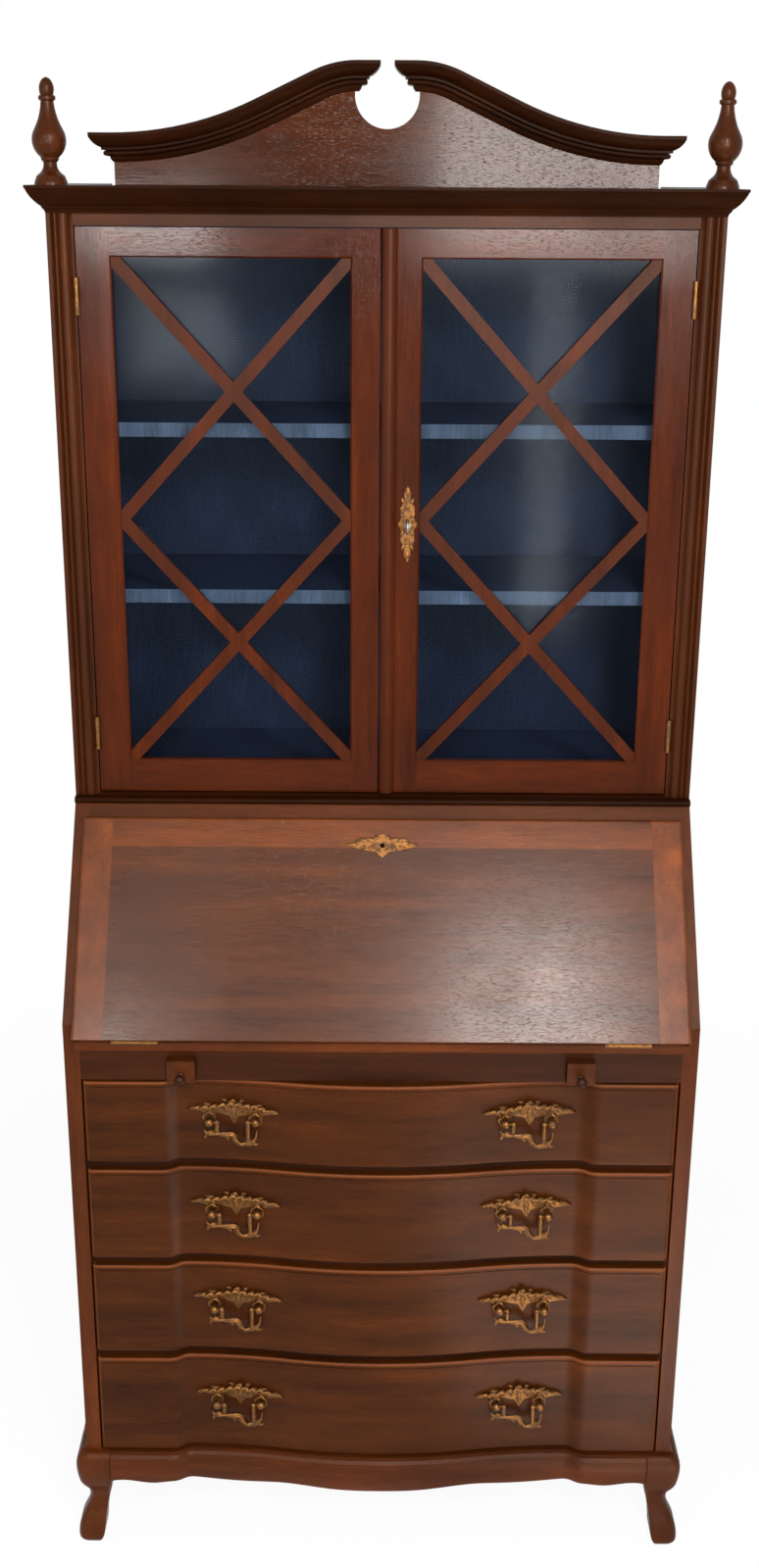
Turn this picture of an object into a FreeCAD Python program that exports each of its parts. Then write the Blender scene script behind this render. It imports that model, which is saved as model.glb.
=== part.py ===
import FreeCAD, Part
import os
from math import asin, cos, radians, sin, sqrt, tan

# Bureau bookcase: a glazed bookcase with a swan-neck pediment on a slant-front
# desk with four serpentine drawers. Millimetres, +Z up, +X to the viewer's right,
# -Y to the front, origin on the floor at the middle of the overall box.

# Lower case
case_width = 813.0
case_depth = 445.0
side_thick = 20.0
back_thick = 6.0
base_top = 147.0
lower_top = 1048.0
lower_top_thick = 22.0
bed_top = 785.0
bed_thick = 12.0
bed_proud = 2.0
frieze_thick = 20.0
frieze_foot_gap = 2.0

# Slant fall
slope_deg = 35.0
fall_inner_thick = 12.0
fall_lip_thick = 9.0
fall_lip_side = 7.0
fall_lip_top = 7.0
fall_gap = 0.4
fall_band = 40.0
fall_side_clear = 1.0
fall_top_clear = 1.0
fall_round = 4.0
fall_key_drop = 37.5
fall_lock_half = 30.0
fall_lock_depth = 8.0
fall_plate_half = 47.0
fall_plate_rise = 16.0
keyhole_r = 3.2

# Drawers, from the top one down
drawer_heights = [120.0, 136.0, 138.0, 152.0]
drawer_gap = 11.0
drawer_foot_gap = 2.0
drawer_proud = 3.0
drawer_lip = 4.0
drawer_lip_thick = 11.0
drawer_front_depth = 34.0
drawer_side_clear = 1.5
drawer_fit = 1.5
drawer_headroom = 8.0
drawer_wall = 11.0
drawer_bottom_thick = 5.0
drawer_bottom_rise = 8.0
drawer_rear_room = 24.0
rail_recess = 8.0
rail_depth = 55.0
runner_width = 46.0
case_bottom_thick = 10.0
running_gap = 0.3
lip_gap = 0.4
edge_round = 3.5
end_round = 7.0
bead_step = 0.8
bead_inset = 8.0
bead_corner = 4.0

# Serpentine plan of the drawer fronts, rails and apron
block_width = 100.0
block_run = 30.0
hollow_depth = 10.0
bow_out = 9.0

# Lopers
loper_inset = 130.5
loper_width = 36.0
loper_height = 31.5
loper_clear = 0.5
loper_proud = 12.0
loper_length = 330.0
loper_guide_wall = 10.0
loper_knob_length = 17.0
loper_knob_r = 6.5
loper_knob_drop = 5.0

# Base
apron_bottom = 96.0
apron_thick = 20.0
base_bulge = 15.0
base_shoulder = 5.0
base_cove_height = 18.0
base_bulge_at = 126.0
leg_inner = 34.0
ankle_z = 65.0
toe_z = 28.0
toe_out = 16.0
heel_in = 22.0
leg_round = 12.0

# Drawer pulls
pull_inset = 194.5
pull_rise = 5.0
pull_spread = 60.0
plate_width = 122.0
plate_height = 52.0
plate_thick = 2.5
post_r = 4.0
post_head_r = 6.0
pull_axis_out = 12.8
post_sink = 10.0
pull_seat = 0.1
bail_r = 3.0
bail_pin_r = 1.7
bail_pin_clear = 0.05
bail_drop = 33.0
bail_inset = 10.0
bail_bend = 7.0
bail_ear_r = 3.8
bail_pin_over = 3.0

# Desk interior
nook_front = 205.0
nook_board = 8.0
nook_shelf_rise = 58.0
nook_bays = 5
inner_drawer_gap = 1.0
inner_drawer_wall = 6.0
inner_front_thick = 9.0
inner_knob_r = 6.0
valance_rise = 12.0
valance_drop = 38.0

# Upper case
upper_depth = 271.0
upper_side_thick = 18.0
upper_board_thick = 16.0
cornice_bottom = 1795.0
cornice_height = 32.0
cornice_out = 20.5
cornice_depth = 40.0
dust_thick = 8.0
pilaster_width = 31.0
pilaster_thick = 20.0
door_setback = 8.0
door_stop_gap = 1.0
head_setback = 4.0
waist_height = 8.5
waist_out = 12.0
frieze_height = 14.0
shelf_tops = [1325.0, 1541.0]
shelf_thick = 18.0
shelf_setback = 48.0
shelf_end_clear = 1.0
shelf_pin_r = 3.0
shelf_pin_out = 10.0
shelf_pin_in = 8.0
shelf_pin_inset = 40.0

# Doors
door_thick = 22.0
door_edge_gap = 1.5
door_foot_gap = 3.5
door_meeting_gap = 2.0
door_joint_at = -6.0
stile_outer = 42.0
stile_left_meeting = 36.0
stile_right_meeting = 49.5
rail_top = 35.0
rail_bottom = 44.0
glass_thick = 3.0
glass_rebate = 8.0
lattice_width = 16.0
lattice_thick = 8.0
lattice_setback = 2.0
astragal_width = 19.0
astragal_proud = 7.0
astragal_rise = 2.0

# Hinges and locks
hinge_height = 44.0
hinge_knuckle_r = 3.5
hinge_pin_r = 1.8
hinge_pin_clear = 0.05
hinge_leaf_thick = 1.0
hinge_leaf_width = 12.5
hinge_forward = 1.5
hinge_from_end = 81.0
knuckle_gap = 0.3
knuckle_relief = 0.6
fall_hinge_inset = 71.5
fall_hinge_width = 60.0
fall_hinge_leaf = 26.0
fall_hinge_thick = 2.0
lock_z = 1421.0
keyhole_at = 29.0
key_stem_r = 2.4
key_clear = 0.06
key_out = 26.0
key_bow_r = 8.0
key_collar = 3.0
door_plate_half = 12.0
door_plate_rise = 49.0
door_lock_half = 15.0
door_lock_depth = 10.0
door_lock_rise = 25.0
escutcheon_thick = 2.0

# Pediment and finials
pediment_finial_gap = 29.5
pediment_thick = 18.0
pediment_setback = 8.0
pediment_end_height = 26.0
pediment_hole_r = 38.0
pediment_hole_z = 103.0
swan_out = 26.0
swan_height = 33.0
swan_slope = 25.0
swan_outer_r = 400.0
swan_inner_r = 125.0
swan_gap = 34.0
finial_inset = 8.0
finial_setback = 26.0
finial_height = 120.0
finial_r = 20.0

# Slack when one edge of a piece is picked out
near = 0.01

V = FreeCAD.Vector
half = case_width / 2
inner_half = half - side_thick
block_end = inner_half - block_width
hollow_at = block_end - block_run
loper_at = inner_half - loper_inset
pull_at = inner_half - pull_inset
fall_hinge_at = inner_half - fall_hinge_inset
finial_at = half - finial_inset
pediment_half = finial_at - finial_r - swan_out - pediment_finial_gap
slope = radians(slope_deg)
corner_cut = 1 - sqrt(0.5)
fall_thick = fall_inner_thick + fall_lip_thick
front_reach = loper_proud + loper_knob_length
y_front = (front_reach - case_depth) / 2
y_back = y_front + case_depth
y_upper = y_back - upper_depth
y_door = y_upper + door_setback
y_hinge = y_front - bed_proud
cornice_top = cornice_bottom + cornice_height
upper_inner = half - upper_side_thick
loper_high = bed_top - fall_thick - loper_clear
loper_low = loper_high - loper_height
fall_rise = lower_top - lower_top_thick - fall_top_clear - bed_top
fall_body = fall_rise / cos(slope) - fall_inner_thick * tan(slope)
fall_key_at = fall_body + fall_lip_top - fall_key_drop
drawer_half = inner_half - drawer_side_clear
y_face = y_front - drawer_proud
y_rim = y_face + bead_step
y_drawer_rear = y_front + drawer_front_depth


def box(x0, x1, y0, y1, z0, z1):
    """Block between two corners."""
    return Part.makeBox(x1 - x0, y1 - y0, z1 - z0, V(x0, y0, z0))


def rod(start, end, radius):
    """Round bar between two points."""
    along = end - start
    return Part.makeCylinder(radius, along.Length, start, along)


def outline(points, closed=True):
    """Wire through points; one written as (middle, end) is the end of an arc."""
    edges = []
    here = points[0]
    for step in list(points[1:]) + [points[0]] * closed:
        if isinstance(step, tuple):
            middle, step = step
            edges.append(Part.Arc(here, middle, step).toShape())
        elif (step - here).Length > near:
            edges.append(Part.LineSegment(here, step).toShape())
        here = step
    return Part.Wire(edges)


def prism(points, along):
    """Solid of one outline drawn out along a vector."""
    return Part.Face(outline(points)).extrude(along)


def prism_x(points, x0, x1):
    """Solid of a (y, z) outline between two x planes."""
    return prism([V(x0, y, z) for y, z in points], V(x1 - x0, 0, 0))


def placed(steps, place):
    """Turn flat (outward, height) steps into points with a placing function."""
    points = []
    for step in steps:
        if isinstance(step[0], tuple):
            points.append((place(*step[0]), place(*step[1])))
        else:
            points.append(place(*step))
    return points


def turned(profile, foot):
    """Turning about the vertical through foot, from (radius, height) steps."""
    steps = [(0, profile[0][1])] + profile + [(0, profile[-1][1])]
    face = Part.Face(outline(placed(steps, lambda r, z: V(r, 0, z))))
    solid = face.revolve(V(0, 0, 0), V(0, 0, 1), 360)
    solid.translate(foot)
    return solid


def mirrored(shape):
    """The same piece on the other side of the middle."""
    return shape.mirror(V(0, 0, 0), V(1, 0, 0))


def pair(shape):
    """A piece and its twin on the other side."""
    return [shape, mirrored(shape)]


def save(node, solids):
    """Write one node as its separate solids."""
    Part.makeCompound(solids).exportStep("parts/%s.step" % node)


def ogee(x0, y0, x1, y1, z):
    """Two equal tangent arcs between two level ends, as arc steps."""
    run = (x1 - x0) / 2
    rise = (y1 - y0) / 2
    radius = (run ** 2 + rise ** 2) / (2 * rise)
    turn = asin(run / radius) / 2
    dx = radius * sin(turn)
    dy = radius * (1 - cos(turn))
    first = (V(x0 + dx, y0 + dy, z), V(x0 + run, y0 + rise, z))
    second = (V(x1 - dx, y1 - dy, z), V(x1, y1, z))
    return [first, second]


def serpentine(x_end, y, z):
    """Front line from left to right: flat blocks, hollows and a bowed middle."""
    hollow = y + hollow_depth
    bow = y - bow_out
    line = [V(-x_end, y, z), V(-block_end, y, z)]
    line += ogee(-block_end, y, -hollow_at, hollow, z)
    line += ogee(-hollow_at, hollow, 0, bow, z)
    line += ogee(0, bow, hollow_at, hollow, z)
    line += ogee(hollow_at, hollow, block_end, y, z)
    return line + [V(x_end, y, z)]


def front_at(x):
    """How far the serpentine lies behind its blocks, between the hollows."""
    run = hollow_at / 2
    rise = (hollow_depth + bow_out) / 2
    radius = (run ** 2 + rise ** 2) / (2 * rise)
    reach = abs(x)
    if reach < run:
        return radius - sqrt(radius ** 2 - reach ** 2) - bow_out
    return hollow_depth - radius + sqrt(radius ** 2 - (hollow_at - reach) ** 2)


y_pull = y_face + front_at(pull_at) - pull_axis_out


def serpentine_board(x_end, y, y_rear, z0, z1):
    """Board with a serpentine front edge and a straight rear edge."""
    line = serpentine(x_end, y, z0)
    return prism(line + [V(x_end, y_rear, z0), V(-x_end, y_rear, z0)], V(0, 0, z1 - z0))


# Lower case

def slant_y(z):
    """Front of the slanted case edges at a height."""
    offset = fall_inner_thick - fall_gap / 2
    return y_hinge - offset * cos(slope) + (z - bed_top - offset * sin(slope)) * tan(slope)


def slant_z(y):
    """Height of the slanted case edges at a depth."""
    return bed_top + (y - slant_y(bed_top)) / tan(slope)


def lower_sides():
    """Pair of case sides with the slanted shoulder."""
    shape = [(y_front, base_top), (y_front, slant_z(y_front)), (slant_y(lower_top), lower_top),
             (y_back, lower_top), (y_back, base_top)]
    return pair(prism_x(shape, -half, -inner_half))


def lower_top_board():
    """Board under the bookcase, its front edge planed to the slant."""
    low = lower_top - lower_top_thick
    shape = [(slant_y(low), low), (slant_y(lower_top), lower_top),
             (y_back - back_thick, lower_top), (y_back - back_thick, low)]
    return [prism_x(shape, -inner_half, inner_half)]


def back_panels():
    """Thin backs of the desk and of the bookcase."""
    lower = box(-inner_half, inner_half, y_back - back_thick, y_back, base_top, lower_top)
    upper = box(-upper_inner, upper_inner, y_back - back_thick, y_back, lower_top, cornice_bottom)
    return [lower, upper]


def fall_hinge_places():
    """Middles of the two fall hinges."""
    return [-fall_hinge_at, fall_hinge_at]


def fall_knuckle_reliefs():
    """Round clearances for the fall hinge knuckles."""
    reach = fall_hinge_width / 2 + knuckle_gap
    radius = hinge_knuckle_r + knuckle_relief
    return [rod(V(x - reach, y_hinge, bed_top), V(x + reach, y_hinge, bed_top), radius)
            for x in fall_hinge_places()]


def fall_bed_leaves():
    """Plates of the fall hinges that lie in the writing bed."""
    reach = fall_hinge_width / 2
    return [box(x - reach, x + reach, y_hinge, y_hinge + fall_hinge_leaf,
                bed_top - fall_hinge_thick, bed_top) for x in fall_hinge_places()]


def writing_bed():
    """Fixed writing board with a proud front edge, let in for the hinges."""
    low = bed_top - bed_thick
    bed = box(-inner_half, inner_half, y_front, y_back - back_thick, low, bed_top)
    edge_half = inner_half + fall_lip_side
    bed = bed.fuse(box(-edge_half, edge_half, y_hinge, y_front, low, bed_top)).removeSplitter()
    for cut in fall_bed_leaves() + fall_knuckle_reliefs():
        bed = bed.cut(cut)
    return [bed]


def drawer_levels():
    """Bottom and top of each drawer front, from the top drawer down."""
    top = base_top + drawer_foot_gap + sum(drawer_heights) + drawer_gap * (len(drawer_heights) - 1)
    levels = []
    for height in drawer_heights:
        levels.append((top - height, top))
        top -= height + drawer_gap
    return levels


def opening_levels():
    """Bottom and top of each drawer opening behind the lips."""
    levels = [[low + drawer_lip, high - drawer_lip] for low, high in drawer_levels()]
    levels[-1][0] = base_top + case_bottom_thick
    return levels


def frieze_rail():
    """Rail over the top drawer with the two loper openings."""
    y_rear = y_front + frieze_thick
    low = opening_levels()[0][1]
    middle = drawer_levels()[0][1] + frieze_foot_gap
    rail = box(-inner_half, inner_half, y_front, y_rear, middle, bed_top - bed_thick)
    foot = serpentine_board(inner_half, y_front + rail_recess, y_rear, low, middle)
    rail = rail.fuse(foot).removeSplitter()
    for x in (-loper_at, loper_at):
        reach = loper_width / 2 + loper_clear
        rail = rail.cut(box(x - reach, x + reach, y_front - 1, y_rear + 1,
                            loper_low - running_gap, loper_high + loper_clear))
    return [rail]


def web_frames():
    """Dust frames between the drawers, and the case bottom."""
    y_rail = y_front + rail_recess
    y_runner = y_rail + rail_depth
    y_rear = y_back - back_thick
    solids = []
    openings = opening_levels()
    for above, below in zip(openings[:-1], openings[1:]):
        low, high = below[1], above[0]
        solids.append(serpentine_board(inner_half, y_rail, y_runner, low, high))
        runner = box(-inner_half, runner_width - inner_half, y_runner, y_rear - runner_width, low, high)
        solids += pair(runner)
        solids.append(box(-inner_half, inner_half, y_rear - runner_width, y_rear, low, high))
    floor = serpentine_board(inner_half, y_rail, y_rear, base_top, base_top + case_bottom_thick)
    return solids + [floor]


def loper_guides():
    """Floor and two walls that each loper slides between."""
    y0 = y_front + frieze_thick
    y1 = y_back - back_thick
    reach = loper_width / 2 + loper_clear
    outer = reach + loper_guide_wall
    low = opening_levels()[0][1]
    floor_top = loper_low - running_gap
    solids = pair(box(-loper_at - outer, -loper_at + outer, y0, y1, low, floor_top))
    for side in (-1, 1):
        x = -loper_at + side * (reach + loper_guide_wall / 2)
        wall = box(x - loper_guide_wall / 2, x + loper_guide_wall / 2, y0, y1,
                   floor_top, bed_top - bed_thick)
        solids += pair(wall)
    return solids


def loper():
    """Left pull-out support with its small turned knob."""
    y0 = y_front - loper_proud
    bar = box(-loper_at - loper_width / 2, -loper_at + loper_width / 2,
              y0, y0 + loper_length, loper_low, loper_high)
    r = loper_knob_r
    length = loper_knob_length
    profile = [(r * 0.75, 0), (r * 0.75, length * 0.09), (r * 0.4, length * 0.18), (r * 0.4, length * 0.45),
               (r, length * 0.62), ((r * 1.05, length * 0.75), (r * 0.7, length * 0.92)), (r * 0.3, length)]
    knob = front_knob(profile, V(-loper_at, y0, (loper_low + loper_high) / 2 - loper_knob_drop))
    return [bar, knob]


def front_knob(profile, seat):
    """Turned knob standing out to the front from its seat."""
    knob = turned(profile, V(0, 0, 0))
    knob.rotate(V(0, 0, 0), V(1, 0, 0), 90)
    knob.translate(seat)
    return knob


# Base

def bulge_at(z):
    """How far the base swells past the case at a height."""
    start = base_shoulder
    if z >= base_bulge_at:
        t = (z - base_bulge_at) / (base_top - base_bulge_at)
        return start + (base_bulge - start) * sqrt(max(0.0, 1 - t ** 2))
    t = (base_bulge_at - z) / (base_bulge_at - ankle_z)
    return base_bulge * (1 - t ** 2)


def bulge_steps():
    """Heights at which the swelling base is drawn."""
    rise = base_top - base_bulge_at
    fall = base_bulge_at - apron_bottom
    upper = [base_bulge_at + share * rise for share in (1, 0.9, 0.7, 0.43, 0)]
    lower = [base_bulge_at - share * fall for share in (0.27, 0.53, 0.77, 1)]
    return upper + lower


def apron_front():
    """Swelling serpentine apron with a scalloped lower edge."""
    x_end = half - leg_inner
    y_rear = y_front + apron_thick
    wires = []
    for z in bulge_steps():
        line = serpentine(x_end, y_front - bulge_at(z), z)
        wires.append(outline(line + [V(x_end, y_rear, z), V(-x_end, y_rear, z)]))
    apron = Part.makeLoft(wires, True, True)
    return apron.cut(scallops(x_end))


def scallops(x_end):
    """Space under the cupid's bow edge of the front apron."""
    waves = [(0, 0), (0.17, 1.2), (0.34, 6), (0.46, 3), (0.6, 4), (0.78, 8), (0.84, 5), (0.93, 10), (1, 8)]
    right = [V(x_end * x, y_front - base_bulge * 2, apron_bottom + z) for x, z in waves]
    left = [V(-p.x, p.y, p.z) for p in reversed(right[1:])]
    curve = Part.BSplineCurve()
    curve.interpolate(left + right)
    drop = V(0, 0, -base_bulge)
    ends = [right[-1], right[-1] + drop, left[0] + drop, left[0]]
    wire = Part.Wire([curve.toShape()] + [Part.LineSegment(a, b).toShape() for a, b in zip(ends, ends[1:])])
    return Part.Face(wire).extrude(V(0, base_bulge * 3 + apron_thick, 0))


def apron_side():
    """Swelling side apron, drawn along the depth of the case."""
    shape = [V(-half - bulge_at(z), y_front + leg_inner, z) for z in bulge_steps()]
    shape += [V(-half + apron_thick, y_front + leg_inner, z) for z in (apron_bottom, base_top)]
    return prism(shape, V(0, case_depth - 2 * leg_inner, 0))


def base_cove():
    """Small hollow chamfer where the case side flares into the base."""
    shape = [(0, 0), (1, 0), (0.55, 0.25), (0.22, 0.55), (0, 1)]
    points = [V(-half - u * base_shoulder, y_front, base_top + h * base_cove_height) for u, h in shape]
    return prism(points, V(0, case_depth, 0))


def base_apron():
    """Front and side aprons, rear rail and side coves."""
    rear = box(-half + leg_inner, half - leg_inner, y_back - apron_thick, y_back, apron_bottom, base_top)
    return [apron_front(), rear] + pair(apron_side()) + pair(base_cove())


def leg_sections():
    """Heights of the leg with its outer and inner faces measured from the case corner."""
    knee = [(z, bulge_at(z), -leg_inner) for z in bulge_steps()]
    shin = [(1.18 * ankle_z, 0.15 * toe_out, -0.91 * leg_inner),
            (ankle_z, 0.04 * toe_out, -0.82 * leg_inner),
            (0.78 * ankle_z, 0.2 * toe_out, -0.74 * leg_inner)]
    foot = [(1.29 * toe_z, 0.65 * toe_out, -1.05 * heel_in), (0.71 * toe_z, 0.95 * toe_out, -heel_in),
            (0.33 * toe_z, toe_out, -0.91 * heel_in), (0, 0.8 * toe_out, -0.73 * heel_in)]
    return knee + shin + foot


def leg_ring(z, out, inside, rear):
    """Level section of the left leg: a square with its outer corner well rounded."""
    x0, x1 = -half - out, -half - inside
    y_out = y_back if rear else y_front - out
    y_in = y_back + inside if rear else y_front - inside
    turn = 1 if y_in > y_out else -1
    big = leg_round
    small = leg_round / 4
    corners = [(x0, y_in, 1, -turn, small), (x0, y_out, 1, turn, small if rear else big),
               (x1, y_out, -1, turn, small), (x1, y_in, -1, -turn, small)]
    steps = []
    for i, (x, y, sx, sy, r) in enumerate(corners):
        ends = [V(x + sx * r, y, z), V(x, y + sy * r, z)]
        start, end = ends if i % 2 == 0 else reversed(ends)
        middle = V(x + sx * r * corner_cut, y + sy * r * corner_cut, z)
        steps += [start, (middle, end)]
    return outline(steps)


def leg(rear):
    """Left leg at the front or rear corner: a short cabriole."""
    return Part.makeLoft([leg_ring(*section, rear) for section in leg_sections()], True, False)


def legs():
    """Two front and two rear legs."""
    return pair(leg(False)) + pair(leg(True))


# Drawers

def drawer_front(i):
    """Lipped serpentine front with rounded edges and a raised field, bored for its pull posts."""
    low, high = drawer_levels()[i]
    open_low, open_high = opening_levels()[i]
    front = serpentine_board(drawer_half, y_rim, y_drawer_rear, low, high)
    front = front.makeFillet(end_round, [e for e in front.Edges if is_front_corner(e)])
    front = front.makeFillet(edge_round, [e for e in front.Edges if is_front_rim(e, low, high)])
    field = serpentine_board(drawer_half - bead_inset, y_face, y_drawer_rear - bead_inset,
                             low + bead_inset, high - bead_inset)
    front = front.fuse(field.makeFillet(bead_corner, [e for e in field.Edges if is_level_corner(e)]))
    y_lip = y_face + drawer_lip_thick - lip_gap
    reach = drawer_half + 1
    front = front.cut(serpentine_board(reach, y_lip, y_drawer_rear + 1, low - 1, open_low + drawer_fit))
    front = front.cut(serpentine_board(reach, y_lip, y_drawer_rear + 1, open_high - drawer_fit, high + 1))
    for x in post_places():
        y = y_face + front_at(x)
        z = pull_height(i)
        seat = V(x, y + post_sink + pull_seat, z)
        front = front.cut(rod(V(x, y_face - bow_out, z), seat, post_r + pull_seat))
    return [front]


def is_front_corner(edge):
    """True for the two upright edges at the ends of a drawer face."""
    ends = [v.Point for v in edge.Vertexes]
    upright = abs(ends[0].z - ends[-1].z) > 1
    return upright and all(abs(abs(p.x) - drawer_half) < near and abs(p.y - y_rim) < near for p in ends)


def is_level_corner(edge):
    """True for the corners of a board that run from front to back."""
    return edge.BoundBox.XLength < near and edge.BoundBox.ZLength < near


def is_front_rim(edge, low, high):
    """True for the top and bottom edges along a drawer face."""
    box_of = edge.BoundBox
    flat = box_of.ZLength < near and min(abs(box_of.ZMin - low), abs(box_of.ZMin - high)) < near
    straight_back = box_of.YMax > y_drawer_rear - near
    return flat and not straight_back


def drawer_box(i):
    """Two sides, a back and a bottom behind the front."""
    open_low, open_high = opening_levels()[i]
    z0 = open_low + running_gap
    z1 = open_high - drawer_headroom
    y1 = y_back - back_thick - drawer_rear_room
    inner = drawer_half - drawer_wall
    side = box(-drawer_half, -inner, y_drawer_rear, y1, z0, z1)
    back = box(-inner, inner, y1 - drawer_wall, y1, z0, z1)
    z_bottom = z0 + drawer_bottom_rise
    bottom = box(-inner, inner, y_drawer_rear, y1 - drawer_wall, z_bottom, z_bottom + drawer_bottom_thick)
    return pair(side) + [back, bottom]


def pull_height(i):
    """Height of the pull posts on a drawer."""
    low, high = drawer_levels()[i]
    return (low + high) / 2 + pull_rise


def post_places():
    """Sideways places of the four pull posts of a drawer."""
    reach = pull_spread / 2
    return [side * pull_at + step for side in (-1, 1) for step in (-reach, reach)]


def pull_posts(i):
    """Four posts with round heads, bored for the bail pins."""
    z = pull_height(i)
    posts = []
    for x in post_places():
        shank = rod(V(x, y_pull, z), V(x, y_face + front_at(x) + post_sink, z), post_r)
        post = shank.fuse(Part.makeSphere(post_head_r, V(x, y_pull, z)))
        bore = rod(V(x - 2 * post_head_r, y_pull, z), V(x + 2 * post_head_r, y_pull, z),
                   bail_pin_r + bail_pin_clear)
        posts.append(post.cut(bore))
    return posts


def pull_plate(i, middle):
    """Winged backplate that hugs a drawer face."""
    z = pull_height(i)
    wing = [(-0.98, 0.5), (-0.74, 0.66), (-0.41, 0.67), (-0.2, 0.81), (-0.07, 0.96), (0.03, 1.02),
            (0.15, 0.85), (0.36, 0.67), (0.74, 0.54), (1.02, 0.38), (0.75, 0.3), (0.63, 0.23),
            (0.63, -0.17), (0.49, -0.35), (0.36, -0.17), (0.36, 0.23), (0.13, 0.15), (0.03, -0.3),
            (-0.08, 0.15), (-0.36, 0.3), (-0.36, -0.17), (-0.49, -0.35), (-0.63, -0.17), (-0.63, 0.3),
            (-0.77, 0.38)]
    points = [V(middle + x * plate_width / 2, y_face - 2 * bow_out, z + h * plate_height / 2)
              for x, h in wing]
    blank = prism(points, V(0, 2 * bow_out + hollow_depth, 0))
    low = z - plate_height
    high = z + plate_height
    skin = serpentine_board(drawer_half, y_face - plate_thick, y_drawer_rear, low, high)
    skin = skin.cut(serpentine_board(drawer_half, y_face - pull_seat, y_drawer_rear + 1, low, high))
    return blank.common(skin)


def drawer_pulls(i):
    """Backplates and posts of one drawer."""
    plates = [pull_plate(i, x) for x in (-pull_at, pull_at)]
    posts = pull_posts(i)
    for post in posts:
        plates = [plate.cut(post) for plate in plates]
    return plates + posts


def rounded_path(points, radius):
    """Wire of straight runs joined by tangent arcs."""
    edges = []
    here = points[0]
    for corner, after in zip(points[1:-1], points[2:]):
        back = (here - corner).normalize()
        on = (after - corner).normalize()
        half_turn = back.getAngle(on) / 2
        reach = radius / tan(half_turn)
        start = corner + back * reach
        end = corner + on * reach
        bisector = (back + on).normalize()
        middle = corner + bisector * (radius / sin(half_turn) - radius)
        edges.append(Part.LineSegment(here, start).toShape())
        edges.append(Part.Arc(start, middle, end).toShape())
        here = end
    edges.append(Part.LineSegment(here, points[-1]).toShape())
    return Part.Wire(edges)


def bail(i, middle):
    """Bail: an uneven loop like a lying S, hung on two pins."""
    z = pull_height(i)
    reach = pull_spread / 2 - bail_inset
    hang = [(-1, 0), (-1, -0.52), (0.05, -0.56), (0.48, -1), (1, -0.96), (1, 0)]
    points = [V(middle + x * reach, y_pull, z + drop * bail_drop) for x, drop in hang]
    path = rounded_path(points, bail_bend)
    ring = Part.Wire(Part.makeCircle(bail_r, points[0], V(0, 0, 1)))
    loop = path.makePipeShell([ring], True, False)
    for side in (-1, 1):
        ear = V(middle + side * reach, y_pull, z)
        tip = V(middle + side * (pull_spread / 2 + bail_pin_over), y_pull, z)
        loop = loop.fuse(Part.makeSphere(bail_ear_r, ear)).fuse(rod(ear, tip, bail_pin_r))
    return loop


# Slant fall

def on_fall(x, along, out):
    """Point on the closed fall: up its slope and out from its inner face."""
    return V(x, y_hinge + along * sin(slope) - out * cos(slope),
             bed_top + along * cos(slope) + out * sin(slope))


def fall_slab(x0, x1, s0, s1, n0, n1):
    """Block lying in the slope of the fall."""
    corners = [on_fall(x0, s, n) for s, n in ((s0, n0), (s1, n0), (s1, n1), (s0, n1))]
    return prism(corners, V(x1 - x0, 0, 0))


def fall_hinge_slabs():
    """Plates of the fall hinges that lie in the fall."""
    reach = fall_hinge_width / 2
    return [fall_slab(x - reach, x + reach, fall_gap, fall_hinge_leaf, 0, fall_hinge_thick)
            for x in fall_hinge_places()]


def whole_fall():
    """Rebated board with a rounded lip, let in for its hinges and lock."""
    body_half = inner_half - fall_side_clear
    body = fall_slab(-body_half, body_half, fall_gap, fall_body, 0, fall_inner_thick)
    lip_half = inner_half + fall_lip_side
    lip = fall_slab(-lip_half, lip_half, fall_gap, fall_body + fall_lip_top, fall_inner_thick, fall_thick)
    lip = lip.makeFillet(fall_round, [e for e in lip.Edges if is_fall_rim(e)])
    whole = body.fuse(lip).removeSplitter()
    for cut in fall_hinge_slabs() + fall_knuckle_reliefs() + [fall_lock_box()]:
        whole = whole.cut(cut)
    return whole.cut(fall_keyhole(-1, fall_thick + 1))


def is_fall_rim(edge):
    """True for the side and top edges of the fall's outer face."""
    normal = V(0, -cos(slope), sin(slope))
    upward = V(0, sin(slope), cos(slope))
    origin = on_fall(0, 0, 0)
    ends = [v.Point - origin for v in edge.Vertexes]
    outer = all(abs(p.dot(normal) - fall_thick) < near for p in ends)
    foot = all(abs(p.dot(upward) - fall_gap) < near for p in ends)
    return outer and not foot


def fall_band_blanks():
    """Left, right and top borders, mitred at the top corners."""
    wide = inner_half + fall_lip_side
    top = fall_body + fall_lip_top
    side = [(-wide, 0), (-wide, top), (-wide + fall_band, top - fall_band), (-wide + fall_band, 0)]
    inner = wide - fall_band
    head = [(-wide, top), (wide, top), (inner, top - fall_band), (-inner, top - fall_band)]
    out = on_fall(0, 0, fall_thick) - on_fall(0, 0, 0)
    left, top_band = [prism([on_fall(x, s, 0) for x, s in shape], out) for shape in (side, head)]
    return [left, mirrored(left), top_band]


def fall_panel():
    """Middle board of the fall."""
    panel = whole_fall()
    for blank in fall_band_blanks():
        panel = panel.cut(blank)
    return [panel]


def fall_bands():
    """Cross-grained borders of the fall."""
    whole = whole_fall()
    return [whole.common(blank) for blank in fall_band_blanks()]


def fall_lock_box():
    """Space of the fall's lock in the inner face."""
    return fall_slab(-fall_lock_half, fall_lock_half, fall_key_at - fall_lock_half * 0.6, fall_body,
                     0, fall_lock_depth)


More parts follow.
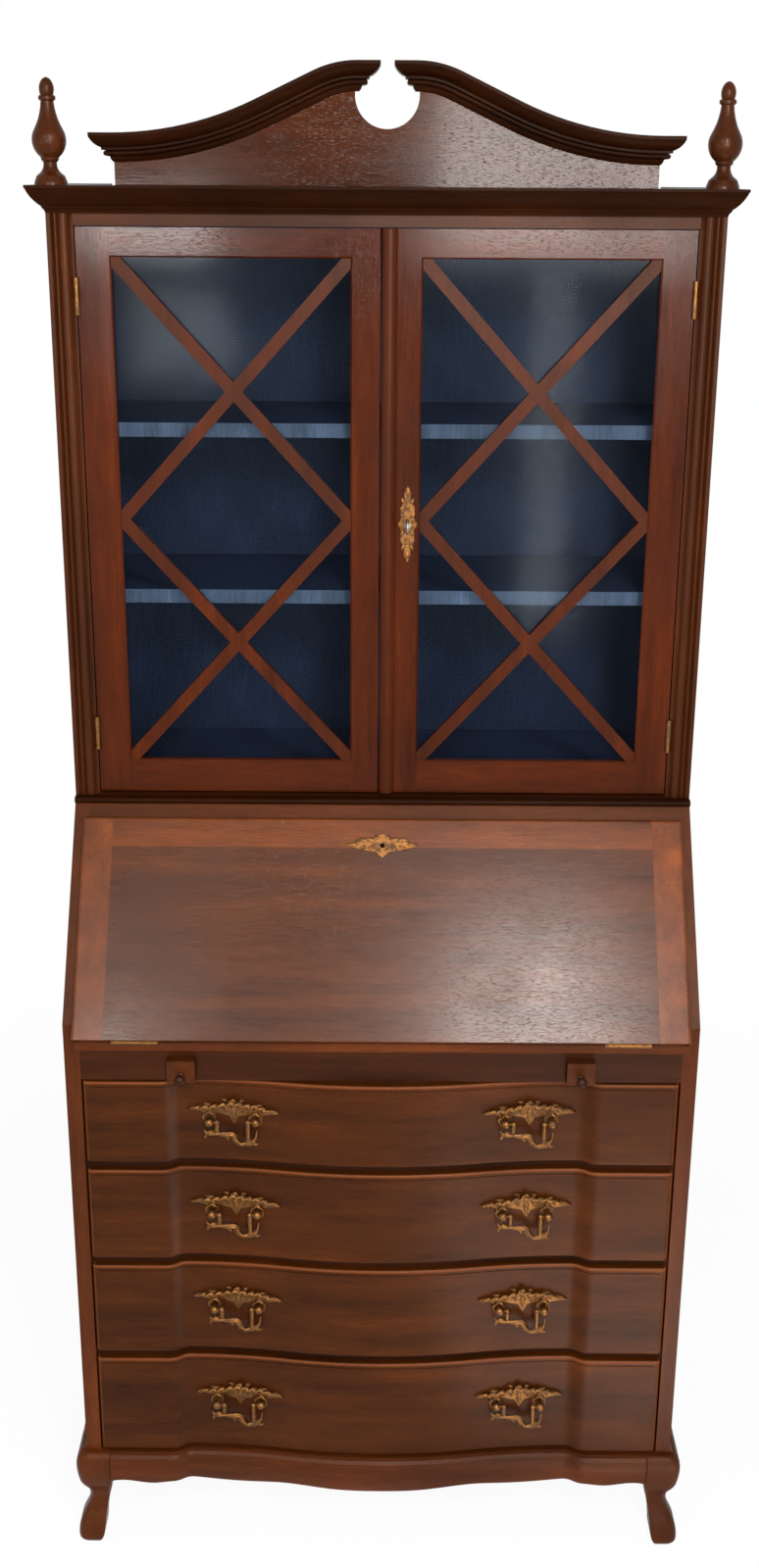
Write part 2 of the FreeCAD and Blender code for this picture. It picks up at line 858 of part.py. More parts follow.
def fall_keyhole(n0, n1):
    """Round keyhole square through the fall."""
    return rod(on_fall(0, fall_key_at, n0), on_fall(0, fall_key_at, n1), keyhole_r)


def fall_lock_set():
    """Lock case and shaped keyhole plate of the fall."""
    lock = fall_lock_box().cut(fall_keyhole(-1, fall_thick))
    plate = [(-1, 0), (-0.5, 0.45), (-0.2, 0.6), (0, 1), (0.2, 0.6), (0.5, 0.45), (1, 0),
             (0.5, -0.4), (0.2, -0.5), (0, -1), (-0.2, -0.5), (-0.5, -0.4)]
    points = [on_fall(x * fall_plate_half, fall_key_at + s * fall_plate_rise, fall_thick) for x, s in plate]
    out = on_fall(0, 0, escutcheon_thick) - on_fall(0, 0, 0)
    return [lock, prism(points, out).cut(fall_keyhole(0, fall_thick + 2 * escutcheon_thick))]


def knuckle_parts(length):
    """Ends of the outer and of the middle hinge knuckles along the pin."""
    third = length / 6
    outer = [(-length / 2, -third - knuckle_gap), (third + knuckle_gap, length / 2)]
    return outer, (-third, third)


def fall_hinge_leaf_solids():
    """Moving hinge leaves: plate, web and middle knuckle."""
    leaves = []
    _, (a, b) = knuckle_parts(fall_hinge_width)
    clear = hinge_knuckle_r + knuckle_relief
    reach = fall_hinge_width / 2
    for x in fall_hinge_places():
        leaf = fall_slab(x - reach, x + reach, clear, fall_hinge_leaf, 0, fall_hinge_thick)
        leaf = leaf.fuse(fall_slab(x + a, x + b, 0, clear, 0, fall_hinge_thick))
        leaf = leaf.fuse(rod(V(x + a, y_hinge, bed_top), V(x + b, y_hinge, bed_top), hinge_knuckle_r))
        ends = [V(x - reach, y_hinge, bed_top), V(x + reach, y_hinge, bed_top)]
        bore = rod(ends[0], ends[1], hinge_pin_r + hinge_pin_clear)
        leaves.append(leaf.cut(bore).removeSplitter())
    return leaves


def fall_fixed_leaves():
    """Hinge leaves in the writing bed: plate, outer knuckles and pin."""
    leaves = []
    outer, _ = knuckle_parts(fall_hinge_width)
    clear = hinge_knuckle_r + knuckle_relief
    reach = fall_hinge_width / 2
    low = bed_top - fall_hinge_thick
    for x in fall_hinge_places():
        leaf = box(x - reach, x + reach, y_hinge + clear, y_hinge + fall_hinge_leaf, low, bed_top)
        for a, b in outer:
            leaf = leaf.fuse(box(x + a, x + b, y_hinge, y_hinge + clear, low, bed_top))
            leaf = leaf.fuse(rod(V(x + a, y_hinge, bed_top), V(x + b, y_hinge, bed_top), hinge_knuckle_r))
        pin = rod(V(x - reach, y_hinge, bed_top), V(x + reach, y_hinge, bed_top), hinge_pin_r)
        leaves.append(leaf.fuse(pin).removeSplitter())
    return leaves


# Desk interior

def bay_edges():
    """Left and right of each pigeonhole bay."""
    width = (2 * inner_half - (nook_bays - 1) * nook_board) / nook_bays
    starts = [-inner_half + i * (width + nook_board) for i in range(nook_bays)]
    return [(x, x + width) for x in starts]


def pigeonholes():
    """Partitions, shelves and arched valances across the back of the desk."""
    y0 = y_front + nook_front
    y1 = y_back - back_thick
    top = lower_top - lower_top_thick
    shelf = bed_top + nook_shelf_rise
    solids = [box(x, x + nook_board, y0, y1, bed_top, top) for _, x in bay_edges()[:-1]]
    for x0, x1 in bay_edges():
        solids.append(box(x0, x1, y0, y1, shelf, shelf + nook_board))
        middle = V((x0 + x1) / 2, y0, top - valance_rise)
        foot = top - valance_drop
        shape = [V(x0, y0, foot), (middle, V(x1, y0, foot)), V(x1, y0, top), V(x0, y0, top)]
        solids.append(prism(shape, V(0, nook_board, 0)))
    return solids


def inner_drawer():
    """Small drawer of the left-hand bay with a turned knob."""
    x0, x1 = [x + side * inner_drawer_gap for x, side in zip(bay_edges()[0], (1, -1))]
    y0 = y_front + nook_front
    y1 = y_back - back_thick - inner_drawer_gap
    z0 = bed_top + running_gap
    z1 = bed_top + nook_shelf_rise - inner_drawer_gap
    wall = inner_drawer_wall
    y_in = y0 + inner_front_thick
    walls = [box(x, x + wall, y_in, y1, z0, z1) for x in (x0, x1 - wall)]
    rear = box(x0 + wall, x1 - wall, y1 - wall, y1, z0, z1)
    bottom = box(x0 + wall, x1 - wall, y_in, y1 - wall, z0, z0 + wall)
    r = inner_knob_r
    profile = [(r * 0.5, 0), (r * 0.5, r), (r, r * 1.6), ((r * 0.9, r * 2.1), (r * 0.3, r * 2.4)),
               (r * 0.1, r * 2.42)]
    knob = front_knob(profile, V((x0 + x1) / 2, y0, (z0 + z1) / 2))
    return [box(x0, x1, y0, y_in, z0, z1), rear, bottom, knob] + walls


# Bookcase

def shelf_pin_places():
    """Inner ends of the shelf pins on the left side."""
    ys = (y_upper + shelf_setback + shelf_pin_inset, y_back - back_thick - shelf_pin_inset)
    return [V(-upper_inner, y, top - shelf_thick - shelf_pin_r) for top in shelf_tops for y in ys]


def shelf_pin(place):
    """One pin, part in the case side and part under the shelf."""
    return rod(place - V(shelf_pin_in, 0, 0), place + V(shelf_pin_out, 0, 0), shelf_pin_r)


def shelf_pins():
    """Eight shelf pins."""
    return [pin for place in shelf_pin_places() for pin in pair(shelf_pin(place))]


def upper_sides():
    """Pair of bookcase sides bored for the shelf pins."""
    side = box(-half, -upper_inner, y_upper + pilaster_thick, y_back, lower_top, cornice_bottom)
    for place in shelf_pin_places():
        side = side.cut(shelf_pin(place))
    return pair(side)


def upper_boards():
    """Bottom, top and dust boards of the bookcase."""
    y0 = y_door + door_thick + door_stop_gap
    y1 = y_back - back_thick
    bottom = box(-upper_inner, upper_inner, y0, y1, lower_top, lower_top + upper_board_thick)
    top = box(-upper_inner, upper_inner, y0, y1, cornice_bottom - upper_board_thick, cornice_bottom)
    inner = half - cornice_depth
    dust = box(-inner, inner, y_upper + cornice_depth, y_back, cornice_bottom, cornice_bottom + dust_thick)
    return [bottom, top, dust]


def shelves():
    """Two loose shelves."""
    reach = upper_inner - shelf_end_clear
    y1 = y_back - back_thick
    return [box(-reach, reach, y_upper + shelf_setback, y1, top - shelf_thick, top) for top in shelf_tops]


def pilaster():
    """Left front post with a groove, a bead and a broad reed."""
    edge = -half + pilaster_width
    w = pilaster_width
    d = door_setback
    steps = [(-half, pilaster_thick), (-half, 0), (-half + 0.16 * w, 0), (-half + 0.23 * w, 0.38 * d),
             (-half + 0.29 * w, 0.1 * d), ((-half + 0.34 * w, 0), (-half + 0.39 * w, 0.1 * d)),
             (-half + 0.45 * w, 0.42 * d), ((-half + 0.63 * w, 0), (-half + 0.81 * w, 0.42 * d)),
             ((edge - 0.13 * w, 0.78 * d), (edge - 0.03 * w, d)), (edge, d), (edge, pilaster_thick)]
    plan = placed(steps, lambda x, y: V(x, y_upper + y, lower_top))
    post = prism(plan, V(0, 0, cornice_bottom - lower_top))
    for cut in door_knuckle_reliefs() + door_leaf_recesses(-1):
        post = post.cut(cut)
    return post


def upper_face_frame():
    """Two pilasters, the head rail and the sill around the doors."""
    edge = half - pilaster_width
    y1 = y_door + door_thick + door_stop_gap
    low = cornice_bottom - frieze_height
    head = box(-edge, edge, y_upper + head_setback, y1, low, cornice_bottom)
    sill = box(-edge, edge, y_upper, y1, lower_top, lower_top + waist_height)
    return pair(pilaster()) + [head, sill]


def waist_moulding():
    """Rounded strip along the joint of desk and bookcase."""
    nose = waist_height / 2
    front = y_upper - waist_out + nose
    shape = [V(-half, y_upper, lower_top), V(-half, front, lower_top),
             (V(-half, front - nose, lower_top + nose), V(-half, front, lower_top + waist_height)),
             V(-half, y_upper, lower_top + waist_height)]
    return [prism(shape, V(case_width, 0, 0))]


def cornice_profile():
    """Cornice section as (outward, height) steps, from its inner foot round."""
    h = cornice_height
    out = cornice_out
    return [(-cornice_depth, 0), (0, 0), ((1, 0.1 * h), (3.5, 0.19 * h)), (4, 0.25 * h),
            ((0.7 * out, 0.58 * h), (out - 1, 0.88 * h)), (out, 0.9 * h), (out, h), (-cornice_depth, h)]


def cornice():
    """Front and side cornice lengths mitred at the corners."""
    wide = half + cornice_out
    inner = half - cornice_depth
    y0 = y_upper - cornice_out
    y1 = y_upper + cornice_depth
    z = cornice_bottom
    tall = V(0, 0, cornice_height)
    front = prism(placed(cornice_profile(), lambda u, h: V(-wide, y_upper - u, z + h)), V(2 * wide, 0, 0))
    front = front.common(prism([V(-wide, y0, z), V(wide, y0, z), V(inner, y1, z), V(-inner, y1, z)], tall))
    side = prism(placed(cornice_profile(), lambda u, h: V(-half - u, y0, z + h)), V(0, y_back - y0, 0))
    plan = [V(-wide, y0, z), V(-inner, y1, z), V(-inner, y_back, z), V(-wide, y_back, z)]
    side = side.common(prism(plan, tall))
    return [front] + pair(side)


# Pediment

def swan_steps():
    """Top line of the left half from its outer end, as points and arc steps."""
    turn = radians(swan_slope)
    x0, z0 = -pediment_half, cornice_top + pediment_end_height + swan_height
    x3 = -swan_gap
    x1 = x0 + swan_outer_r * sin(turn)
    z1 = z0 + swan_outer_r * (1 - cos(turn))
    x2 = x3 - swan_inner_r * sin(turn)
    z2 = z1 + (x2 - x1) * tan(turn)
    z3 = z2 + swan_inner_r * (1 - cos(turn))
    first = (x0 + swan_outer_r * sin(turn / 2), z0 + swan_outer_r * (1 - cos(turn / 2)))
    last = (x3 - swan_inner_r * sin(turn / 2), z3 - swan_inner_r * (1 - cos(turn / 2)))
    return [(x0, z0), (first, (x1, z1)), (x2, z2), (last, (x3, z3))]


def on_pediment(x, z):
    """Point on the front of the pediment board."""
    return V(x, y_upper + pediment_setback, z)


def pediment_board():
    """Board with two rising shoulders and a round opening between them."""
    hole_z = cornice_top + pediment_hole_z
    steps = [(-pediment_half, cornice_top)] + swan_steps()
    steps += [(-swan_gap, hole_z), (0, hole_z), (0, cornice_top)]
    board = prism(placed(steps, on_pediment), V(0, pediment_thick, 0))
    board = board.fuse(mirrored(board)).removeSplitter()
    start = on_pediment(0, hole_z) - V(0, 1, 0)
    return [board.cut(rod(start, start + V(0, pediment_thick + 2, 0), pediment_hole_r))]


def swan_profile():
    """Raking moulding section as (outward, down) steps from its top."""
    out = swan_out
    tall = swan_height
    return [(0, 0), (out, 0), (out, 0.12 * tall), ((0.82 * out, 0.34 * tall), (0.5 * out, 0.5 * tall)),
            (0.5 * out, 0.58 * tall), (0.3 * out, 0.6 * tall),
            ((0.42 * out, 0.69 * tall), (0.3 * out, 0.78 * tall)), (0.16 * out, 0.8 * tall),
            ((0.1 * out, 0.92 * tall), (0, tall))]


def swan_return(x, z, side):
    """Short length that turns the raking moulding back along a board end."""
    y = y_upper + pediment_setback
    length = swan_out + pediment_thick
    section = placed(swan_profile(), lambda u, d: V(x + side * u, y - swan_out, z - d))
    x_out = x + side * swan_out
    rear = y + pediment_thick
    plan = [V(x, y, 0), V(x_out, y - swan_out, 0), V(x_out, rear, 0), V(x, rear, 0)]
    return prism(section, V(0, length, 0)).common(prism(plan, V(0, 0, 2 * cornice_top)))


def swan_rake():
    """Raking moulding along the left top line, mitred at both ends."""
    steps = swan_steps()
    x0, z0 = steps[0]
    x3, z3 = steps[-1][1]
    line = [on_pediment(x0 - swan_out, z0)] + placed(steps, on_pediment) + [on_pediment(x3 + swan_out, z3)]
    path = outline(line, False)
    y = y_upper + pediment_setback
    section = outline(placed(swan_profile(), lambda u, d: V(x0 - swan_out, y - u, z0 - d)))
    rake = path.makePipeShell([section], True, False)
    plan = [V(x0, y, 0), V(x0 - swan_out, y - swan_out, 0), V(x3 + swan_out, y - swan_out, 0), V(x3, y, 0)]
    return rake.common(prism(plan, V(0, 0, 2 * cornice_top)))


def pediment_mouldings():
    """Raking mouldings and their returns on both halves."""
    steps = swan_steps()
    x0, z0 = steps[0]
    x3, z3 = steps[-1][1]
    return pair(swan_rake()) + pair(swan_return(x0, z0, -1)) + pair(swan_return(x3, z3, 1))


def finials():
    """Turned finials on the cornice corners."""
    h = finial_height
    r = finial_r
    profile = [(r, 0), (0.97 * r, 0.03 * h), ((0.9 * r, 0.06 * h), (0.84 * r, 0.085 * h)),
               (0.7 * r, 0.105 * h), ((0.48 * r, 0.145 * h), (0.4 * r, 0.19 * h)), (0.4 * r, 0.215 * h),
               (0.52 * r, 0.235 * h), (0.54 * r, 0.26 * h), ((r, 0.4 * h), (0.85 * r, 0.52 * h)),
               ((0.52 * r, 0.65 * h), (0.38 * r, 0.78 * h)), (0.5 * r, 0.795 * h), (0.5 * r, 0.825 * h),
               (0.38 * r, 0.84 * h), ((0.42 * r, 0.92 * h), (0.22 * r, 0.985 * h)), (0.06 * r, h)]
    y = y_upper - cornice_out + finial_setback
    return pair(turned(profile, V(-finial_at, y, cornice_top)))


# Glazed doors

door_low = lower_top + waist_height + door_foot_gap
door_high = cornice_bottom - frieze_height - door_edge_gap
door_outer = half - pilaster_width - door_edge_gap
x_pivot = door_outer + door_edge_gap / 2
y_pivot = y_door - hinge_forward


def door_hinge_heights():
    """Middles of the lower and upper door hinges."""
    return [door_low + hinge_from_end, door_high - hinge_from_end]


def door_knuckle_reliefs():
    """Round clearances for the knuckles of the left door."""
    reach = hinge_height / 2 + knuckle_gap
    radius = hinge_knuckle_r + knuckle_relief
    return [rod(V(-x_pivot, y_pivot, z - reach), V(-x_pivot, y_pivot, z + reach), radius)
            for z in door_hinge_heights()]


def leaf_blank(side, z0, z1, y0, y1):
    """Left hinge plate, side -1 in the pilaster and 1 in the door edge."""
    face = -x_pivot + side * door_edge_gap / 2
    deep = face + side * hinge_leaf_thick
    return box(min(face, deep), max(face, deep), y_pivot + y0, y_pivot + y1, z0, z1)


def door_leaf_recesses(side):
    """Recesses for the left door's hinge plates."""
    reach = hinge_height / 2
    return [leaf_blank(side, z - reach, z + reach, 0, hinge_leaf_width) for z in door_hinge_heights()]


def door_hinge_leaves(side):
    """Left hinge leaves; the fixed ones carry the outer knuckles and the pin."""
    outer, middle = knuckle_parts(hinge_height)
    knuckles = outer if side < 0 else [middle]
    clear = hinge_knuckle_r + knuckle_relief
    reach = hinge_height / 2
    leaves = []
    for z in door_hinge_heights():
        leaf = leaf_blank(side, z - reach, z + reach, clear, hinge_leaf_width)
        foot = V(-x_pivot, y_pivot, z)
        for a, b in knuckles:
            leaf = leaf.fuse(leaf_blank(side, z + a, z + b, 0, clear))
            leaf = leaf.fuse(rod(foot + V(0, 0, a), foot + V(0, 0, b), hinge_knuckle_r))
        ends = [foot - V(0, 0, reach), foot + V(0, 0, reach)]
        if side < 0:
            leaf = leaf.fuse(rod(ends[0], ends[1], hinge_pin_r))
        else:
            leaf = leaf.cut(rod(ends[0], ends[1], hinge_pin_r + hinge_pin_clear))
        leaves.append(leaf.removeSplitter())
    return leaves


def fixed_hinge_leaves():
    """Hinge leaves on the case: fall hinges and both doors' hinges."""
    doors = door_hinge_leaves(-1)
    return fall_fixed_leaves() + doors + [mirrored(leaf) for leaf in doors]


def door_frame(x0, x1, left_stile, right_stile):
    """Two stiles and two rails, rebated behind for the glass."""
    y1 = y_door + door_thick
    inner0, inner1 = x0 + left_stile, x1 - right_stile
    z0, z1 = door_low + rail_bottom, door_high - rail_top
    solids = [box(a, b, y_door, y1, door_low, door_high) for a, b in ((x0, inner0), (inner1, x1))]
    solids += [box(inner0, inner1, y_door, y1, a, b) for a, b in ((door_low, z0), (z1, door_high))]
    rebate = glass_space(inner0, inner1, y1 + 1)
    bevel = sight_bevel(inner0, inner1, z0, z1)
    return [solid.cut(rebate).cut(bevel) for solid in solids]


def glass_space(inner0, inner1, y_rear):
    """Space behind the lattice that takes the pane."""
    y0 = y_door + lattice_setback + lattice_thick
    z0, z1 = door_low + rail_bottom, door_high - rail_top
    r = glass_rebate
    return box(inner0 - r, inner1 + r, y0, y_rear, z0 - r, z1 + r)


def sight_bevel(x0, x1, z0, z1):
    """Tapered space that bevels the front edge round a door opening."""
    b = lattice_setback
    wires = []
    for y, spread in ((y_door, b), (y_door + b, 0)):
        corners = [V(x0 - spread, y, z0 - spread), V(x1 + spread, y, z0 - spread),
                   V(x1 + spread, y, z1 + spread), V(x0 - spread, y, z1 + spread)]
        wires.append(outline(corners))
    return Part.makeLoft(wires, True, True)


def door_lattice(inner0, inner1):
    """Glazing bars: two crosses, one over the other."""
    z0, z1 = door_low + rail_bottom, door_high - rail_top
    middle = (z0 + z1) / 2
    y = y_door + lattice_setback
    field = box(inner0, inner1, y, y + lattice_thick, z0, z1)
    bars = []
    for low, high in ((z0, middle), (middle, z1)):
        bars.append(glazing_bar(V(inner0, y, low), V(inner1, y, high)))
        bars.append(glazing_bar(V(inner0, y, high), V(inner1, y, low)))
    return [bars[0].multiFuse(bars[1:]).removeSplitter().common(field)]


def glazing_bar(start, end):
    """Flat bar between two points of a door, run past both ends."""
    along = (end - start).normalize() * lattice_width
    across = V(-along.z, 0, along.x) * 0.5
    ends = [start - along, end + along]
    corners = [ends[0] + across, ends[1] + across, ends[1] - across, ends[0] - across]
    return prism(corners, V(0, lattice_thick, 0))


def left_door_edges():
    """Outer ends and opening of the left door."""
    x1 = door_joint_at - door_meeting_gap / 2
    return -door_outer, x1, -door_outer + stile_outer, x1 - stile_left_meeting


def right_door_edges():
    """Outer ends and opening of the right door."""
    x0 = door_joint_at + door_meeting_gap / 2
    return x0, door_outer, x0 + stile_right_meeting, door_outer - stile_outer


def left_door_frame():
    """Left door frame let in for its hinges."""
    x0, x1, _, _ = left_door_edges()
    cuts = door_knuckle_reliefs() + door_leaf_recesses(1)
    return [let_in(solid, cuts) for solid in door_frame(x0, x1, stile_outer, stile_left_meeting)]


def right_door_frame():
    """Right door frame let in for its hinges and bored for the key."""
    x0, x1, _, _ = right_door_edges()
    cuts = [mirrored(cut) for cut in door_knuckle_reliefs() + door_leaf_recesses(1)]
    cuts.append(key_bore(keyhole_r))
    return [let_in(solid, cuts) for solid in door_frame(x0, x1, stile_right_meeting, stile_outer)]


def let_in(solid, cuts):
    """A solid with several pieces cut out of it."""
    for cut in cuts:
        solid = solid.cut(cut)
    return solid


def door_glass(inner0, inner1):
    """One pane behind the bars."""
    y0 = y_door + lattice_setback + lattice_thick
    return [glass_space(inner0, inner1, y0 + glass_thick)]


def door_astragal():
    """Rounded strip along the meeting edge of the right door."""
    x0 = right_door_edges()[0]
    x1 = x0 + astragal_width
    side = y_door - astragal_rise
    crown = V((x0 + x1) / 2, y_door - astragal_proud, door_low)
    z = door_low
    plan = [V(x0, y_door, z), V(x0, side, z), (crown, V(x1, side, z)), V(x1, y_door, z)]
    return [prism(plan, V(0, 0, door_high - door_low))]


# Door lock and key

def key_bore(radius):
    """Round way for the key through the escutcheon and the door stile."""
    front = V(keyhole_at, y_door - 2 * escutcheon_thick, lock_z)
    return rod(front, front + V(0, 2 * door_thick, 0), radius)


def door_lock_set():
    """Keyhole plate on the stile and the lock case behind it."""
    plate = [(0, 1), (0.35, 0.8), (0.3, 0.62), (0.75, 0.42), (0.6, 0.2), (1, 0), (0.6, -0.2), (0.75, -0.42),
             (0.3, -0.62), (0.35, -0.8), (0, -1)]
    plate += [(-x, z) for x, z in reversed(plate[1:-1])]
    points = [V(keyhole_at + x * door_plate_half, y_door - escutcheon_thick, lock_z + z * door_plate_rise)
              for x, z in plate]
    shield = prism(points, V(0, escutcheon_thick, 0)).cut(key_bore(keyhole_r))
    y0 = y_door + door_thick
    case = box(keyhole_at - door_lock_half, keyhole_at + door_lock_half, y0, y0 + door_lock_depth,
               lock_z - door_lock_rise, lock_z + door_lock_rise)
    return [shield, case.cut(key_bore(key_stem_r + key_clear))]


def door_key():
    """Key with a round stem, a collar and a ring bow."""
    tip = V(keyhole_at, y_door + door_thick + door_lock_depth, lock_z)
    neck = V(keyhole_at, y_door - key_out + 2 * key_bow_r, lock_z)
    stem = rod(tip, neck, key_stem_r)
    collar = rod(neck, neck + V(0, key_collar, 0), key_stem_r + key_collar / 2)
    bow = Part.makeTorus(key_bow_r, key_stem_r * 0.8, V(0, 0, 0), V(1, 0, 0))
    bow.translate(V(keyhole_at, y_door - key_out + key_bow_r, lock_z))
    return [stem.fuse(collar).fuse(bow).removeSplitter()]


os.makedirs("parts", exist_ok=True)

save("lower_sides", lower_sides())
save("lower_top_board", lower_top_board())
save("back_panels", back_panels())
save("writing_bed", writing_bed())
save("frieze_rail", frieze_rail())
save("web_frames", web_frames())
save("loper_guides", loper_guides())
save("base_apron", base_apron())
save("legs", legs())
save("pigeonholes", pigeonholes())
save("upper_sides", upper_sides())
save("upper_boards", upper_boards())
save("upper_face_frame", upper_face_frame())
save("cornice", cornice())
save("pediment_board", pediment_board())
save("pediment_mouldings", pediment_mouldings())
save("finials", finials())
save("shelves", shelves())
save("shelf_pins", shelf_pins())
save("waist_moulding", waist_moulding())
save("fixed_hinge_leaves", fixed_hinge_leaves())

save("left_door_frame", left_door_frame())
save("left_door_lattice", door_lattice(*left_door_edges()[2:]))
save("left_door_glass", door_glass(*left_door_edges()[2:]))
save("left_door_hinge_leaves", door_hinge_leaves(1))
save("right_door_frame", right_door_frame())
save("right_door_lattice", door_lattice(*right_door_edges()[2:]))
save("right_door_glass", door_glass(*right_door_edges()[2:]))
save("right_door_hinge_leaves", [mirrored(leaf) for leaf in door_hinge_leaves(1)])
save("door_astragal", door_astragal())
save("door_lock_set", door_lock_set())
save("door_key", door_key())

save("fall_panel", fall_panel())
save("fall_bands", fall_bands())
save("fall_lock_set", fall_lock_set())
save("fall_hinge_leaves", fall_hinge_leaf_solids())
save("loper_left", loper())
save("loper_right", [mirrored(solid) for solid in loper()])
save("inner_drawer_left", inner_drawer())
save("inner_drawer_right", [mirrored(solid) for solid in inner_drawer()])

for i in range(len(drawer_heights)):
    number = i + 1
    save("drawer_%d_front" % number, drawer_front(i))
    save("drawer_%d_box" % number, drawer_box(i))
    save("drawer_%d_pulls" % number, drawer_pulls(i))
    save("drawer_%d_bail_right" % number, [bail(i, pull_at)])
    save("drawer_%d_bail_left" % number, [bail(i, -pull_at)])
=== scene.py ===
from math import asin, atan2, cos, pi, radians, sin

import bmesh
import bpy
from mathutils import Matrix, Vector
from mathutils.bvhtree import BVHTree


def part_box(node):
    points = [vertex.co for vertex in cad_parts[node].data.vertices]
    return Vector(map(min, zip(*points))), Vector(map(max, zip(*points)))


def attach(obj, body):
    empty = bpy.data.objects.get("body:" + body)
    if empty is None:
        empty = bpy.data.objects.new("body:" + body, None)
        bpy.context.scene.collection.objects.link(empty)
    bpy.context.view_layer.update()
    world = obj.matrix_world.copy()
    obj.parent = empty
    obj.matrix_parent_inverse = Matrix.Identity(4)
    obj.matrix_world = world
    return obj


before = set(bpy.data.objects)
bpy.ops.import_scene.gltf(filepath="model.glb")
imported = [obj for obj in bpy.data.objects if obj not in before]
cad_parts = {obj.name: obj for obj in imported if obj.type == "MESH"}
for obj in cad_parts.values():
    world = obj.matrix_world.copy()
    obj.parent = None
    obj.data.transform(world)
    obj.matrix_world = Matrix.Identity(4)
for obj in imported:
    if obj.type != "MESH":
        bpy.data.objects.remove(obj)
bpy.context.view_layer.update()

bl_info = {
    "name": "Bureau bookcase dressing",
    "version": (1, 0, 0),
    "blender": (4, 5, 0),
    "location": "View3D > Sidebar > Bureau",
    "description": "Finishes, cast brass fittings and studio for a bureau bookcase",
    "category": "Object",
}

# Places read from the frame, in metres
DOOR_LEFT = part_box("left_door_lattice")
DOOR_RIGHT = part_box("right_door_lattice")
SIDE_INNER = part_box("back_panels")[1].x
BACK_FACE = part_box("back_panels")[0].y
SHELF_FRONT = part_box("shelves")[0].y
DUST_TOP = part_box("cornice")[0].z
PILASTER_EDGE = -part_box("left_door_frame")[0].x
BAND_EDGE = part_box("fall_panel")[1].x
KNOB_LENGTH = 0.0165
LOPER_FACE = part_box("loper_left")[0].y + KNOB_LENGTH
DRAWERS = (1, 2, 3, 4)
DRAWER_FACES = [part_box("drawer_%d_front" % number) for number in DRAWERS]

# Worn edges and a painted highlight on the drawer fronts: width of the paler rim, and how much of it shows
# on the ends and tops
RIM = 0.004
RIM_INSET = 0.2
END_WEAR_AND_HIGHLIGHT, TOP_WEAR_AND_HIGHLIGHT = 0.4, 0.7

# Millimetre, reach of the search for the face under a casting, and distance of points that are one
MM = 0.001
REACH = 0.03
WELD = 1e-6


def colour(name, words, value):
    """A colour that a user may change."""
    return bpy.props.FloatVectorProperty(
        name=name, description=words, subtype="COLOR", size=3, min=0, max=1, default=value)


def length(name, words, value):
    """A size in metres that a user may change."""
    return bpy.props.FloatProperty(name=name, description=words, unit="LENGTH", default=value)


def share(name, words, value):
    """A share between nought and one that a user may change."""
    return bpy.props.FloatProperty(
        name=name, description=words, subtype="FACTOR", min=0, max=1, default=value)


def power(name, words, value):
    """A lamp's power that a user may change."""
    return bpy.props.FloatProperty(name=name, description=words, unit="POWER", min=0, default=value)


class BureauFinishes(bpy.types.PropertyGroup):
    """Colours of the woods, the paint, the brass and the steel, and the shine of the wood."""

    case_wood: colour("Case wood", "Mahogany of the case and mouldings", (0.062, 0.0140, 0.0026))
    door_wood: colour("Door wood", "Redder mahogany of the doors", (0.050, 0.0080, 0.0007))
    drawer_wood: colour("Drawer wood", "Brown mahogany of the drawer fronts", (0.042, 0.0096, 0.0009))
    fall_wood: colour("Fall wood", "Mahogany of the slanted writing fall", (0.066, 0.0168, 0.0034))
    inner_wood: colour("Inner wood", "Bare wood of drawer boxes and backs", (0.30, 0.17, 0.085))
    paint: colour("Paint", "Blue paint inside the bookcase", (0.018, 0.0255, 0.057))
    brass: colour("Brass", "Old brass of pulls and plates", (0.185, 0.080, 0.025))
    steel: colour("Steel", "Dull steel of the key and shelf pins", (0.30, 0.27, 0.23))
    grain_gloss: share("Wood roughness", "Roughness of the waxed wood", 0.34)
    wood_gloss: share("Wood gloss", "Strength of the shine on upright wood", 0.11)
    gloss_tint: colour("Gloss tint", "Warm tint of the shellac's shine", (1.0, 0.88, 0.78))


class BureauFittings(bpy.types.PropertyGroup):
    """Sizes of the cast fittings."""

    plate_thick: length("Plate", "Thickness of a pull's plate", 0.0025)
    keyplate_thick: length("Key plate", "Thickness of a keyhole plate", 0.002)
    relief: length("Relief", "Height of the cast leaves over the plate", 0.0032)
    stem_thick: length("Stem", "Half the thickness of the garland's stem", 0.0032)
    branch_thick: length("Branch", "Half the thickness of the branch over a bail", 0.0033)
    rosette_r: length("Rosette", "Radius of the rosettes at the posts", 0.0085)
    post_at: length("Post", "Half the distance between a pull's posts", 0.030)
    bail_eye: length("Bail eye", "Bail axis below the top of the bail", 0.0033)
    fall_slope: bpy.props.FloatProperty(
        name="Slope", description="Lean of the fall from upright", subtype="ANGLE", default=radians(35))
    fall_keyhole: bpy.props.FloatVectorProperty(
        name="Keyhole", description="Middle of the fall's keyhole", subtype="TRANSLATION", size=3,
        default=(0, -0.0702, 0.9998))


